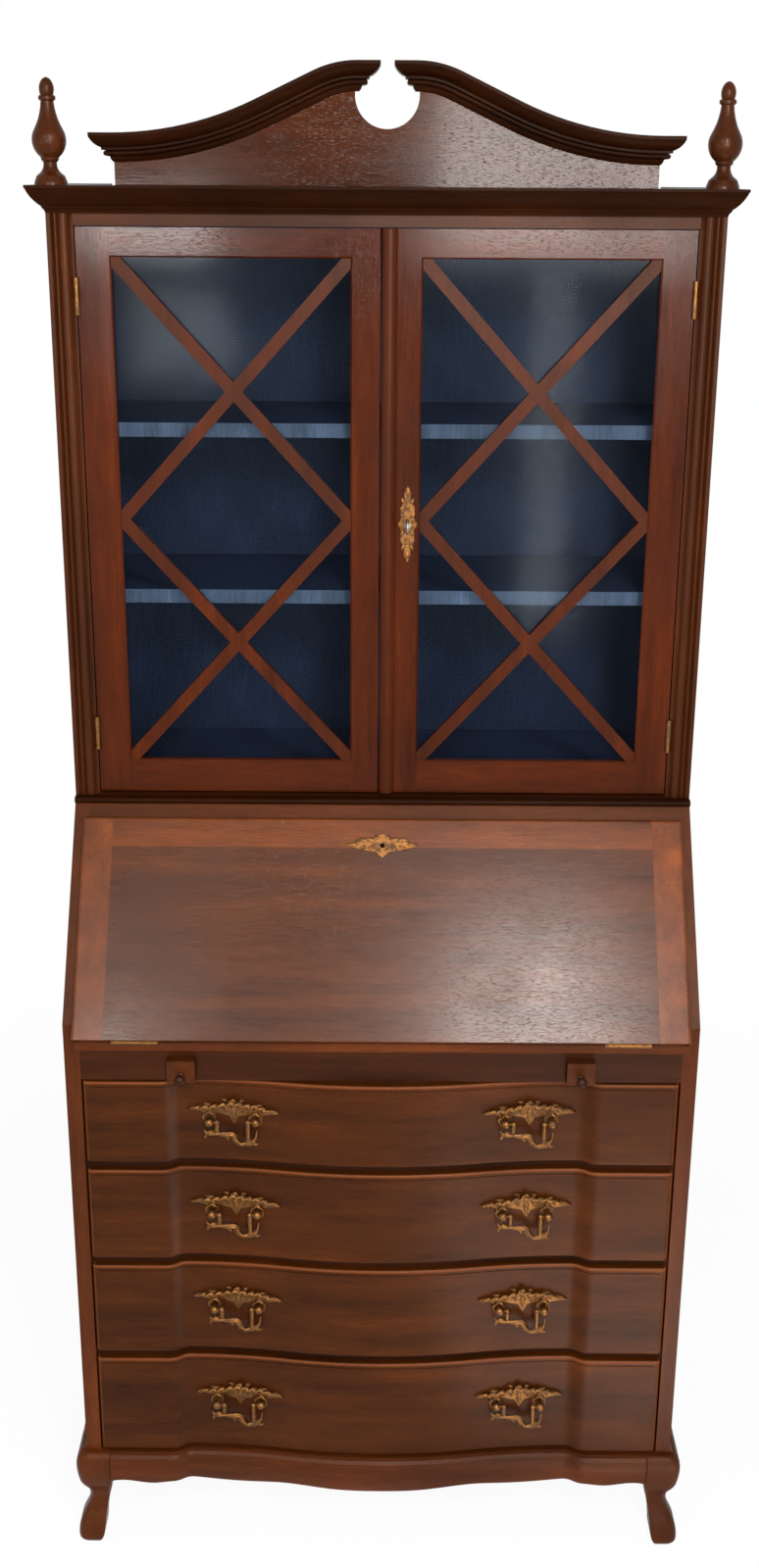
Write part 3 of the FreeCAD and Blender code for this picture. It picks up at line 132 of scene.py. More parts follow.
class BureauStudio(bpy.types.PropertyGroup):
    """Camera and light."""

    lens: bpy.props.FloatProperty(
        name="Lens", description="Focal length for a 36 mm frame", unit="CAMERA", default=38.9)
    camera_place: bpy.props.FloatVectorProperty(
        name="Camera", description="Where the camera stands", subtype="TRANSLATION", size=3,
        default=(-0.0047, -2.1410, 1.8450))
    pitch: bpy.props.FloatProperty(
        name="Pitch", description="How far the camera looks down", subtype="ANGLE", default=radians(18.12))
    roll: bpy.props.FloatProperty(
        name="Roll", description="Turn of the frame about the view", subtype="ANGLE", default=radians(0.36))
    frame_shift: bpy.props.FloatProperty(
        name="Shift", description="How far the frame lies below the lens axis, of its height",
        default=-0.0373)
    floor_shade: share("Floor", "Paleness of the floor", 0.95)
    floor_glow: share("Floor glow", "How far the camera sees the floor as plain white", 0.93)
    world_light: bpy.props.FloatProperty(
        name="Surround light", description="Strength of the even light", min=0, default=0.38)
    key_light: power("Key light", "Power of the large lamp over the camera", 8)
    window_light: power("Window light", "Power of the window over the fall", 40)
    pane_light: power("Pane light", "Power of the window behind the camera", 58)
    fill_light: power("Fill light", "Power of the left lamp", 15)
    side_light: power("Side light", "Power of the window left of the fall", 13)
    strip_light: power("Strip light", "Power of the narrow window in the right pane", 8)
    corner_light: power("Corner light", "Power of the window over the left door", 12)
    patch_light: power("Patch light", "Power of the faint window in the left pane", 4.5)
    bounce_light: power("Bounce light", "Power of the light off the floor at the right", 5)


class Flow:
    """An output in a finish's nodes that can be used in sums."""

    def __init__(self, finish, socket):
        self.finish = finish
        self.socket = socket

    def sum_with(self, operation, first, second):
        """Math node on two values."""
        return self.finish.node("ShaderNodeMath", {"operation": operation}, {0: first, 1: second})

    def __add__(self, other):
        return self.sum_with("ADD", self, other)

    def __radd__(self, other):
        return self.sum_with("ADD", other, self)

    def __sub__(self, other):
        return self.sum_with("SUBTRACT", self, other)

    def __rsub__(self, other):
        return self.sum_with("SUBTRACT", other, self)

    def __mul__(self, other):
        return self.sum_with("MULTIPLY", self, other)

    def __rmul__(self, other):
        return self.sum_with("MULTIPLY", other, self)

    def __gt__(self, other):
        return self.sum_with("GREATER_THAN", self, other)

    def __lt__(self, other):
        return self.sum_with("LESS_THAN", self, other)

    def __abs__(self):
        return self.sum_with("ABSOLUTE", self, 0)


class Finish:
    """One material and the nodes that give it its look."""

    def __init__(self, name):
        self.material = bpy.data.materials.new(name)
        self.material.use_nodes = True
        self.tree = self.material.node_tree
        self.shader = self.tree.nodes["Principled BSDF"]

    def node(self, kind, settings=None, sockets=None, output=0):
        """Add a node, set it, feed its sockets and give one output."""
        made = self.tree.nodes.new(kind)
        for key, value in (settings or {}).items():
            if key == "stops":
                self.set_ramp(made.color_ramp, value)
            else:
                setattr(made, key, value)
        for key, value in (sockets or {}).items():
            self.feed(made.inputs[key], value)
        return Flow(self, made.outputs[output])

    def set_ramp(self, ramp, stops):
        """Give a colour ramp its stops."""
        while len(ramp.elements) < len(stops):
            ramp.elements.new(1)
        for element, (place, shade) in zip(ramp.elements, stops):
            element.position = place
            element.color = (*shade, 1)

    def feed(self, socket, value):
        """Link a flow to a socket or set its value."""
        if isinstance(value, Flow):
            self.tree.links.new(value.socket, socket)
        else:
            socket.default_value = value

    def surface(self, **sockets):
        """Feed the shader's own sockets, named with underscores."""
        for key, value in sockets.items():
            self.feed(self.shader.inputs[key.replace("_", " ")], value)
        return self.material

    def place(self):
        """Object coordinates, which are the piece's own metres."""
        return self.node("ShaderNodeTexCoord", output="Object")

    def axis(self, letter):
        """One coordinate of the piece."""
        return self.node("ShaderNodeSeparateXYZ", None, {0: self.place()}, letter)

    def streaks(self, stretch, scale, detail=4.0):
        """Noise drawn out by a stretch on each axis."""
        spread = self.node("ShaderNodeMapping", None, {"Vector": self.place(), "Scale": stretch})
        return self.node("ShaderNodeTexNoise", None,
                         {"Vector": spread, "Scale": scale, "Detail": detail, "Roughness": 0.6})

    def ramp(self, value, stops):
        """Colours along a value."""
        return self.node("ShaderNodeValToRGB", {"stops": stops}, {0: value})

    def mixed(self, share_of, first, second):
        """Blend of two colours."""
        return self.node("ShaderNodeMix", {"data_type": "RGBA"}, {0: share_of, 6: first, 7: second}, 2)

    def band(self, value, low, high):
        """One between two limits and nought outside them."""
        return (value > low) * (value < high)

    def smooth(self, value, low, high):
        """Value spread from nought at low to one at high."""
        return self.node("ShaderNodeMapRange", {"interpolation_type": "SMOOTHSTEP"},
                         {0: value, 1: low, 2: high})

    def bump(self, height, depth, strength=1.0):
        """Normal of a surface raised by a height."""
        return self.node("ShaderNodeBump", None,
                         {"Height": height, "Distance": depth, "Strength": strength})


def times(shade, factor):
    """A colour made lighter or darker."""
    return tuple(min(1.0, part * factor) for part in shade)


def opaque(shade):
    """A colour with full cover."""
    return (*shade, 1)


WHITE = (1, 1, 1)
SEEN_RAYS = ("Is Camera Ray", "Is Glossy Ray", "Is Transmission Ray")

# Finishes

STRETCH = {"X": (1.0, 14.0, 14.0), "Y": (14.0, 1.0, 14.0), "Z": (14.0, 14.0, 1.0)}
EVEN = (1, 1, 1)

# Wood grain: scale of each layer, its share in the tone, and the tones from dark to light
FIGURE_SCALE, FIBRE_SCALE, PORE_SCALE, MOTTLE_SCALE = 2.6, 34, 90, 6.5
FIGURE_SHARE, FIBRE_SHARE, MOTTLE_SHARE = 0.5, 0.26, 0.24
PORE_STRETCH, MOTTLE_STRETCH = 1.4, 0.4
GRAIN_TONES = ((0.34, 0.42), (0.47, 0.86), (0.56, 1.16), (0.68, 1.9))
PORE_EDGE, PORE_TONE, PORE_COVER = (0.60, 0.70), 0.24, 0.5

# Grime in patches, and the relief of fibres and pores
GRIME_SCALE, GRIME_EDGE, GRIME_TONE, GRIME_COVER = 3.2, (0.44, 0.72), 0.45, 0.42
FIBRE_ROUGH, GRIME_ROUGH, ROUGH_DROP = 0.12, 0.10, 0.06
FIBRE_RISE, RELIEF_DEPTH, RELIEF_STRENGTH = 0.35, 0.0003, 0.2
TONE_BASE, TONE_FIBRE = 0.7, 0.6


class Timber(Finish):
    """Waxed wood: flowing figure, fine fibres, dark pores and a worn sheen."""

    def grain(self, along, shade):
        """Colour and pore depth of boards that run along one axis."""
        stretch = STRETCH[along]
        figure = self.streaks(stretch, FIGURE_SCALE, 5)
        fibre = self.streaks(stretch, FIBRE_SCALE, 3)
        holes = self.streaks([s * PORE_STRETCH for s in stretch], PORE_SCALE, 1)
        pores = self.smooth(holes, *PORE_EDGE)
        mottle = self.streaks([s ** MOTTLE_STRETCH for s in stretch], MOTTLE_SCALE, 3)
        tone = figure * FIGURE_SHARE + fibre * FIBRE_SHARE + mottle * MOTTLE_SHARE
        wood = self.ramp(tone, [(place, times(shade, part)) for place, part in GRAIN_TONES])
        dark = self.mixed(pores * PORE_COVER, wood, opaque(times(shade, PORE_TONE)))
        return dark, fibre, pores

    def waxed(self, dark, fibre, pores, shade, rough, gloss):
        """Finish a grain with grime, wax and a little relief."""
        grime = self.smooth(self.streaks(EVEN, GRIME_SCALE, 3), *GRIME_EDGE)
        toned = self.mixed(grime * GRIME_COVER, dark, opaque(times(shade, GRIME_TONE)))
        relief = self.bump(fibre * FIBRE_RISE - pores, RELIEF_DEPTH, RELIEF_STRENGTH)
        worn = rough + fibre * FIBRE_ROUGH + grime * GRIME_ROUGH - ROUGH_DROP
        return self.surface(Base_Color=toned, Roughness=worn, Normal=relief,
                            Specular_IOR_Level=gloss[0], Specular_Tint=opaque(gloss[1]))


def board_wood(name, shade, rough, along, gloss):
    """Wood whose boards all run one way."""
    timber = Timber(name)
    return timber.waxed(*timber.grain(along, shade), shade, rough, gloss)


def framed_wood(name, shade, rough, upright_mask, gloss):
    """Wood with upright boards where the mask is one and level ones elsewhere."""
    timber = Timber(name)
    mask = upright_mask(timber)
    level = timber.grain("X", shade)
    upright = timber.grain("Z", shade)
    dark = timber.mixed(mask, level[0], upright[0])
    fibre = level[1] * (1 - mask) + upright[1] * mask
    pores = level[2] * (1 - mask) + upright[2] * mask
    return timber.waxed(dark, fibre, pores, shade, rough, gloss)


def toned_wood(name, shade, along, rough, gloss, tone, mask):
    """Wood that takes on another tone where the mask is not nought."""
    timber = Timber(name)
    wood, fibre, pores = timber.grain(along, shade)
    toned = timber.mixed(mask(timber) * (TONE_BASE + TONE_FIBRE * fibre), wood, opaque(tone))
    return timber.waxed(toned, fibre, pores, shade, rough, gloss)


def drawer_wear_and_highlight(timber):
    """Mask of the drawer fronts' top edges and ends, made paler for wear and as a painted highlight."""
    height = timber.axis("Z")
    wear_and_highlight = END_WEAR_AND_HIGHLIGHT * (abs(timber.axis("X")) > DRAWER_FACES[0][1].x - RIM)
    for _, high in DRAWER_FACES:
        wear_and_highlight = wear_and_highlight + TOP_WEAR_AND_HIGHLIGHT * timber.band(height, high.z - RIM, high.z - RIM_INSET * RIM)
    return wear_and_highlight


def knob_mask(timber):
    """Mask of the knobs on the fall supports."""
    return timber.axis("Y") < LOPER_FACE


def door_stiles(low, high):
    """Mask of a door's upright boards, outside its opening."""
    return lambda timber: 1 - timber.band(timber.axis("X"), low.x, high.x)


def posts_mask(timber):
    """Mask of the upright posts beside the doors."""
    return abs(timber.axis("X")) > PILASTER_EDGE


def fall_ends_mask(timber):
    """Mask of the fall's end bands, whose grain runs up the slope."""
    return abs(timber.axis("X")) > BAND_EDGE


# Paint: strokes drawn out upwards, patches, their tones and their relief
STROKE_STRETCH, STROKE_SCALE, PATCH_SCALE = (30, 30, 3), 9, 5
PAINT_TONES = ((0.30, 0.7), (0.52, 1.0), (0.72, 1.5))
STROKE_ROUGH, STROKE_RISE, STROKE_STRENGTH, BARE_RISE, PAINT_SHINE = 0.14, 0.6, 0.3, 0.4, 0.16


def painted(name, shade, wood, rough, wood_mask):
    """Brushed paint, with bare wood where the mask is one."""
    timber = Timber(name)
    brushed = timber.streaks(STROKE_STRETCH, STROKE_SCALE, 4)
    patches = timber.streaks(EVEN, PATCH_SCALE, 3)
    paint = timber.ramp(brushed * 0.5 + patches * 0.5,
                        [(place, times(shade, part)) for place, part in PAINT_TONES])
    grain, fibre, _ = timber.grain("Z", wood)
    mask = wood_mask(timber)
    rise = brushed * STROKE_RISE + fibre * BARE_RISE * mask
    return timber.surface(
        Base_Color=timber.mixed(mask, paint, grain), Roughness=rough + brushed * STROKE_ROUGH,
        Normal=timber.bump(rise, RELIEF_DEPTH, STROKE_STRENGTH), Specular_IOR_Level=PAINT_SHINE)


# Brass: size of its patches and pits, its tones, and how the patina dulls it
PATCHES, PITS = 85, 420
BRASS_TONES = ((0.32, 0.35), (0.5, 1.0), (0.66, 1.65))
PATINA_EDGE, PATINA_TONE, PATINA_COVER = (0.46, 0.66), 0.2, 0.75
PATINA_METAL, PATINA_ROUGH, PIT_ROUGH = 0.35, 0.22, 0.08
PIT_DEPTH, PIT_STRENGTH = 0.0002, 0.35


def old_brass(name, shade, rough):
    """Cast brass with dark patina in patches and rubbed bright spots."""
    brass = Finish(name)
    cloud = brass.streaks(EVEN, PATCHES, 4)
    fine = brass.streaks(EVEN, PITS, 3)
    patina = brass.smooth(cloud, *PATINA_EDGE)
    base = brass.ramp(cloud * 0.6 + fine * 0.4,
                      [(place, times(shade, part)) for place, part in BRASS_TONES])
    toned = brass.mixed(patina * PATINA_COVER, base, opaque(times(shade, PATINA_TONE)))
    return brass.surface(
        Base_Color=toned, Metallic=1 - patina * PATINA_METAL,
        Roughness=rough + patina * PATINA_ROUGH + fine * PIT_ROUGH,
        Normal=brass.bump(fine + cloud, PIT_DEPTH, PIT_STRENGTH))


# Steel: rubbing along the piece, and brown spots
RUB_STRETCH, RUB_SCALE, RUB_TONES = (8, 1, 8), 160, ((0.3, 0.7), (0.7, 1.25))
SPOT_SCALE, SPOT_EDGE, SPOT_COVER, SPOT_METAL = 120, (0.58, 0.7), 0.6, 0.5
RUST = (0.10, 0.05, 0.025)
STEEL_ROUGH, RUB_ROUGH, SPOT_ROUGH = 0.32, 0.16, 0.2
RUB_DEPTH, RUB_STRENGTH = 0.0001, 0.3


def dull_steel(name, shade):
    """Handled steel with fine rubbing and brown spots."""
    steel = Finish(name)
    rub = steel.streaks(RUB_STRETCH, RUB_SCALE, 3)
    spots = steel.smooth(steel.streaks(EVEN, SPOT_SCALE, 3), *SPOT_EDGE)
    base = steel.ramp(rub, [(place, times(shade, part)) for place, part in RUB_TONES])
    return steel.surface(
        Base_Color=steel.mixed(spots * SPOT_COVER, base, opaque(RUST)), Metallic=1 - spots * SPOT_METAL,
        Roughness=STEEL_ROUGH + rub * RUB_ROUGH + spots * SPOT_ROUGH,
        Normal=steel.bump(rub, RUB_DEPTH, RUB_STRENGTH))


# Glass: tint, mirror tone, waves in the pane and a faint film on it
CLEAR, MIRROR = (0.84, 0.88, 0.90), (0.028, 0.030, 0.031)
WAVE_SCALE, WAVE_DEPTH, WAVE_STRENGTH = 7, 0.002, 0.25
FILM_SCALE, FILM_ROUGH, GLASS_ROUGH = 30, 0.04, 0.08
MIRROR_SHARE, FILM_SHARE = 0.065, 0.05


def old_glass(name):
    """Clear pane: mostly see-through, with a sharp, slightly wavy reflection."""
    glass = Finish(name)
    waves = glass.streaks(EVEN, WAVE_SCALE, 2)
    film = glass.streaks(EVEN, FILM_SCALE, 4)
    glass.surface(Base_Color=opaque(MIRROR), Metallic=1.0, Roughness=GLASS_ROUGH + film * FILM_ROUGH,
                  Normal=glass.bump(waves, WAVE_DEPTH, WAVE_STRENGTH))
    clear = glass.node("ShaderNodeBsdfTransparent", None, {0: opaque(CLEAR)})
    mirror = Flow(glass, glass.shader.outputs[0])
    both = glass.node("ShaderNodeMixShader", None,
                      {0: MIRROR_SHARE + film * FILM_SHARE, 1: clear, 2: mirror})
    glass.feed(glass.tree.nodes["Material Output"].inputs["Surface"], both)
    return glass.material


# Shine of the woods: strength and tint
SHINES = {"wax": (0.20, (1.0, 0.97, 0.95)), "polish": (0.10, (1.0, 0.95, 0.92)),
          "satin": (0.12, (1.0, 0.95, 0.92))}
DULL_SHINE = 0.03

# Plain boards: wood, its tone, change of roughness, grain and shine
BOARDS = {
    "case_level": ("case_wood", 1, 0, "X", "warm"),
    "case_upright": ("case_wood", 1, 0, "Z", "warm"),
    "pediment": ("case_wood", 0.66, -0.25, "X", "polish"),
    "turned": ("case_wood", 0.7, -0.08, "Z", "warm"),
    "moulding": ("case_wood", 0.24, 0, "X", "dull"),
    "frieze": ("case_wood", 0.45, 0, "X", "warm"),
    # The rails between the drawers are darkened: painted shade in the gaps.
    "recess": ("case_wood", 0.35, 0.15, "X", "warm"),
    "glazing_bars": ("door_wood", 0.9, 0, "Z", "warm"),
    "fall": ("fall_wood", 1, -0.12, "X", "wax"),
    "box_wood": ("inner_wood", 1, 0.21, "Y", "warm"),
}

# Other woods and paints: tones, roughness and the bare edges
FALL_END_WOOD, SHELF_EDGE = (0.122, 0.028, 0.004), (0.10, 0.128, 0.19)
# The drawer rims' tone is paler than the fronts: wear on the edges and a painted highlight.
POST_TONE, RIM_WEAR_AND_HIGHLIGHT_TONE, SUPPORT_TONE, KNOB_TONE = 0.65, 2.2, 0.75, 0.3
BACK_TONE, TOP_TONE, SIDE_TONE = 0.6, 1.3, 0.95
# The boards and shelves inside take a lighter copy of the blue paint: painted light where light falls on
# them.
LIT_BOARD_PAINT, LIT_SHELF_PAINT = 1.7, 1.6
HANDLED, RUBBED = -0.1, -0.22
PAINT_ROUGH, SIDE_ROUGH, SHELF_ROUGH = 0.5, 0.42, 0.45
BRASS_ROUGH, CAST_ROUGH = 0.36, 0.46
BACK_SKIN, PAINT_SKIN, EDGE_SKIN = 0.003, 0.001, 0.0005


def back_mask(timber):
    """Mask of the bare outer face of the back."""
    return timber.axis("Y") > BACK_FACE + BACK_SKIN


def top_mask(timber):
    """Mask of the bare dust board over the bookcase."""
    return timber.axis("Z") > DUST_TOP + PAINT_SKIN


def outside_mask(timber):
    """Mask of the bookcase sides' outer faces."""
    return abs(timber.axis("X")) > SIDE_INNER + PAINT_SKIN


def shelf_mask(timber):
    """Mask of the shelves' front edges."""
    return timber.axis("Y") < SHELF_FRONT + EDGE_SKIN


def finishes(props):
    """Every material by name."""
    rough, case, door, paint = props.grain_gloss, props.case_wood, props.door_wood, props.paint
    warm, satin, wax = (props.wood_gloss, props.gloss_tint), SHINES["satin"], SHINES["wax"]
    shines = {"warm": warm, "dull": (DULL_SHINE, props.gloss_tint), **SHINES}
    recipes = {
        name: (board_wood, times(getattr(props, wood), tone), rough + change, along, shines[shine])
        for name, (wood, tone, change, along, shine) in BOARDS.items()
    }
    recipes.update({
        "posts": (framed_wood, times(case, POST_TONE), rough, posts_mask, warm),
        "left_door": (framed_wood, door, rough + RUBBED, door_stiles(*DOOR_LEFT), satin),
        "right_door": (framed_wood, door, rough + RUBBED, door_stiles(*DOOR_RIGHT), satin),
        "fall_ends": (framed_wood, FALL_END_WOOD, rough + HANDLED, fall_ends_mask, wax),
        # The drawer fronts are paler along their top edges and ends: wear and a painted highlight.
        "drawer": (toned_wood, props.drawer_wood, "X", rough, warm,
                   times(props.fall_wood, RIM_WEAR_AND_HIGHLIGHT_TONE), drawer_wear_and_highlight),
        "support": (toned_wood, times(case, SUPPORT_TONE), "Y", rough, warm,
                    times(case, KNOB_TONE), knob_mask),
        "painted_back": (painted, paint, times(props.inner_wood, BACK_TONE), PAINT_ROUGH, back_mask),
        # Lighter paint on the boards inside the bookcase: painted light.
        "painted_boards": (painted, times(paint, LIT_BOARD_PAINT), times(case, TOP_TONE), PAINT_ROUGH,
                           top_mask),
        "painted_sides": (painted, paint, times(case, SIDE_TONE), SIDE_ROUGH, outside_mask),
        # Lighter paint on the shelves: painted light.
        "shelf_paint": (painted, times(paint, LIT_SHELF_PAINT), SHELF_EDGE, SHELF_ROUGH, shelf_mask),
        "brass": (old_brass, props.brass, BRASS_ROUGH),
        "cast_brass": (old_brass, props.brass, CAST_ROUGH),
        "steel": (dull_steel, props.steel),
        "glass": (old_glass,),
    })
    return {name: make(name, *values) for name, (make, *values) in recipes.items()}


NODE_FINISH = {
    "lower_sides": "case_upright", "lower_top_board": "case_level", "back_panels": "painted_back",
    # The web frames between the drawers take the darkened finish, which is painted shade.
    "writing_bed": "case_level", "frieze_rail": "frieze", "web_frames": "recess",
    "loper_guides": "box_wood", "base_apron": "case_level", "legs": "case_upright",
    "pigeonholes": "case_upright", "upper_sides": "painted_sides", "upper_boards": "painted_boards",
    "upper_face_frame": "posts", "cornice": "moulding", "pediment_board": "pediment",
    "pediment_mouldings": "moulding", "finials": "turned", "shelves": "shelf_paint",
    "shelf_pins": "steel", "waist_moulding": "moulding", "fixed_hinge_leaves": "brass",
    "left_door_frame": "left_door", "right_door_frame": "right_door",
    "left_door_lattice": "glazing_bars", "right_door_lattice": "glazing_bars",
    "left_door_glass": "glass", "right_door_glass": "glass",
    "left_door_hinge_leaves": "brass", "right_door_hinge_leaves": "brass",
    "door_astragal": "glazing_bars", "door_lock_set": "brass", "door_key": "steel",
    "fall_panel": "fall", "fall_bands": "fall_ends", "fall_lock_set": "brass", "fall_hinge_leaves": "brass",
    "loper_left": "support", "loper_right": "support",
    "inner_drawer_left": "case_level", "inner_drawer_right": "case_level",
}
DRAWER_FINISH = {
    "front": "drawer", "box": "box_wood", "pulls": "brass", "bail_left": "brass", "bail_right": "brass",
}


class BUREAU_OT_finishes(bpy.types.Operator):
    """Give every CAD node its wood, paint, brass or glass."""

    bl_idname = "bureau.finishes"
    bl_label = "Finish the bureau"

    def execute(self, context):
        made = finishes(context.scene.bureau_finishes)
        wanted = dict(NODE_FINISH)
        for number in DRAWERS:
            for part, name in DRAWER_FINISH.items():
                wanted["drawer_%d_%s" % (number, part)] = name
        for node, name in wanted.items():
            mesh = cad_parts[node].data
            mesh.materials.clear()
            mesh.materials.append(made[name])
        return {"FINISHED"}


# Cast brass fittings

# Leaf: width at its base, taper, lobes, sunk rib, and points round and along it
LEAF_BASE, LEAF_TAPER, LOBE_DEPTH, LOBE_TURN = 1.25, 0.6, 0.16, 22
RIB_SINK, RIB_SHARP = 0.4, 5
LEAF_AROUND, LEAF_ALONG = 14, 10

# Stem: depth of its twist, taper at its ends, and points round it and along each step
ROPE, END_TAPER, END_SIZE = 0.38, 5, 0.25
STEM_AROUND, STEM_ALONG = 10, 12

# Scroll: steps and twists in its ring. Rosette: where a petal starts, and its width
CURL_STEPS, CURL_TURNS = 10, 5
PETAL_START, PETAL_WIDTH = 0.3, 0.36


class Casting:
    """Leaves and stems cast in relief over a face of the part."""

    def __init__(self, name, grounds, centre, right, up):
        self.name = name
        self.mesh = bmesh.new()
        self.centre = Vector(centre)
        self.right = Vector(right)
        self.up = Vector(up)
        self.out = self.right.cross(self.up)
        self.trees = [tree_of(node) for node in grounds]

    def point(self, across, along, height):
        """Place over the face, a height above it."""
        flat = self.centre + self.right * across + self.up * along
        hits = [tree.ray_cast(flat + self.out * REACH, -self.out, 2 * REACH)[0] for tree in self.trees]
        seats = [hit for hit in hits if hit is not None]
        seat = max(seats, key=self.out.dot) if seats else flat
        return seat + self.out * height

    def blob(self, place, around, along):
        """Closed rounded form whose unit-ball points are moved by a placing function."""
        ball = bmesh.ops.create_uvsphere(self.mesh, u_segments=around, v_segments=along, radius=1)
        for vert in ball["verts"]:
            vert.co = self.point(*place(*vert.co))

    def leaf(self, base, tip, width, height, bend=0.0):
        """Lobed leaf with a sunk rib, from its base to its tip."""
        run = Vector(tip) - Vector(base)
        side = Vector((-run.y, run.x))

        def place(x, y, z):
            t = 0.5 - 0.5 * z
            line = Vector(base) + run * t + side * (bend * 4 * t * (1 - t))
            wave = 1 + LOBE_DEPTH * sin(LOBE_TURN * t)
            lobe = width * (LEAF_BASE - LEAF_TAPER * t) * wave / run.length
            spot = line + side * (lobe * x)
            rib = 1 - RIB_SINK * max(0.0, 1 - abs(x) * RIB_SHARP)
            rise = height * max(0.0, y) * rib
            return spot.x, spot.y, rise
        self.blob(place, LEAF_AROUND, LEAF_ALONG)

    def stem(self, path, thick, turns):
        """Twisted stem along a line of (across, along, height) points."""
        def place(x, y, z):
            t = 0.5 + asin(max(-1.0, min(1.0, z))) / pi
            spot, along = on_line(path, t)
            side = Vector((-along.y, along.x)).normalized()
            angle = atan2(y, x)
            rope = 1 + ROPE * sin(2 * angle + turns * 2 * pi * t)
            taper = min(1.0, END_TAPER * t + END_SIZE, END_TAPER * (1 - t) + END_SIZE) if x or y else 0.0
            swell = thick * rope * taper
            flat = Vector((spot.x, spot.y)) + side * (swell * cos(angle))
            return flat.x, flat.y, spot.z + swell * sin(angle)
        self.blob(place, STEM_AROUND, STEM_ALONG * len(path))

    def curl(self, ring, height, thick):
        """Round scroll about a place, given as (across, along, radius)."""
        across, along, radius = ring
        turns = [2 * pi * k / CURL_STEPS for k in range(CURL_STEPS + 1)]
        path = [(across + radius * cos(turn), along + radius * sin(turn), height) for turn in turns]
        self.stem(path, thick, CURL_TURNS)

    def rosette(self, centre, radius, petals, height):
        """Ring of petals round a button."""
        for k in range(petals):
            angle = 2 * pi * (k + 0.5) / petals
            way = Vector((cos(angle), sin(angle)))
            inner = Vector(centre) + way * radius * PETAL_START
            self.leaf(inner, Vector(centre) + way * radius, radius * PETAL_WIDTH, height)

    def settle(self, material, body):
        """Close the casting and let it ride on a body."""
        bmesh.ops.remove_doubles(self.mesh, verts=self.mesh.verts, dist=WELD)
        bmesh.ops.recalc_face_normals(self.mesh, faces=self.mesh.faces)
        for face in self.mesh.faces:
            face.smooth = True
        mesh = bpy.data.meshes.new(self.name)
        self.mesh.to_mesh(mesh)
        self.mesh.free()
        mesh.materials.append(material)
        piece = bpy.data.objects.new(self.name, mesh)
        bpy.context.scene.collection.objects.link(piece)
        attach(piece, body)


def tree_of(node):
    """Search tree of a CAD node's faces."""
    mesh = bmesh.new()
    mesh.from_mesh(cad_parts[node].data)
    tree = BVHTree.FromBMesh(mesh)
    mesh.free()
    return tree


def on_line(path, t):
    """Smoothed point and direction at a share of a line's points."""
    place = t * (len(path) - 1)
    k = min(int(place), len(path) - 2)
    u = place - k
    points = [Vector(path[max(0, min(len(path) - 1, k + step))]) for step in (-1, 0, 1, 2)]
    a, b, c, d = points
    spot = b + 0.5 * u * (c - a + u * (2 * a - 5 * b + 4 * c - d + u * (3 * (b - c) + d - a)))
    ahead = 0.5 * (c - a) + u * (2 * a - 5 * b + 4 * c - d) + 1.5 * u * u * (3 * (b - c) + d - a)
    return spot, ahead


def scaled(pairs):
    """Millimetre steps in metres."""
    return [tuple(part * MM for part in pair) for pair in pairs]


# Leaves of a pull as (base, tip, width, bend), in millimetres from the middle between its posts
PULL_LEAVES = (
    ((-44, 13.5), (-60, 11), 2.2, -0.08), ((-26, 16.5), (-40, 19.5), 2.0, -0.12),
    ((-6, 22), (-16, 27), 2.2, -0.2),
    ((44, 14), (61, 10), 2.2, 0.08), ((27, 18), (40, 20), 2.0, 0.12), ((8, 22), (16, 26), 2.2, 0.2),
    ((-6, 18), (-9, 7), 2.8, -0.15), ((1, 20), (2, -6), 4.2, 0.0), ((8, 18), (12, 6), 2.8, 0.15),
    ((-30, 6), (-27, 14), 3.6, 0.1), ((30, 6), (28, 15), 3.6, -0.1),
)
PULL_STEM = ((-58, 11.5, 3), (-45, 14, 4), (-30, 15.5, 4.6), (-14, 19, 5), (1, 22, 5.4),
             (15, 19.5, 5), (29, 18.5, 4.6), (43, 14.5, 4), (60, 10.5, 3))
CREST_RING = (1, 24, 3.6)
POST_RING = 7.6

# Twists of the garland and the branch, petals of a rosette, and shares of the relief and the stem
STEM_TURNS, BRANCH_TURNS, PETALS = 11, 3, 7
ROSETTE_RISE, RING_RISE, KEYPLATE_RISE = 0.5, 0.4, 0.6
CREST_THICK, RING_THICK = 0.62, 0.6


# Leaves of the fall's keyhole plate and of the door's, in millimetres from the keyhole
FALL_LEAVES = (
    ((8, 1), (24, 6), 4.0, 0.12), ((8, -1), (22, -6), 3.8, -0.12), ((18, 1), (36, 4), 3.4, 0.15),
    ((20, -1), (33, -5), 3.0, -0.15), ((30, 0), (47, 0.5), 3.0, -0.08), ((3, 6), (9, 13), 3.2, -0.15),
    ((3, -6), (8, -12), 3.2, 0.15),
)
DOOR_LEAVES = (
    ((2, 8), (8, 17), 3.0, -0.2), ((1, 16), (6, 28), 3.0, 0.2), ((1, 26), (7, 35), 2.8, -0.2),
    ((0.5, 33), (3, 47), 2.6, 0.15), ((5, 2), (10.5, 6), 2.6, 0.1), ((5, -2), (10.5, -6), 2.6, -0.1),
    ((2, -8), (8, -17), 3.0, 0.2), ((1, -16), (6, -28), 3.0, -0.2), ((1, -26), (7, -35), 2.8, 0.2),
    ((0.5, -33), (3, -47), 2.6, -0.15),
)


# Cast branch over a bail, in millimetres from the middle between the posts
BAIL_BRANCH = ((-36, -24), (-33, -17.5), (-26, -15.5), (-20, -16.5), (-8, -17.6), (1, -19), (6, -26),
               (11, -32), (18, -32), (24, -29), (30, -22), (32, -12))
BAIL_LEAVES = (((-12, -17.5), (-5, -27), 3.2, 0.2), ((-2, -19), (5, -33), 3.2, 0.1),
               ((-28, -16), (-37, -10), 2.6, 0.2), ((24, -29), (34, -31), 2.6, -0.2))


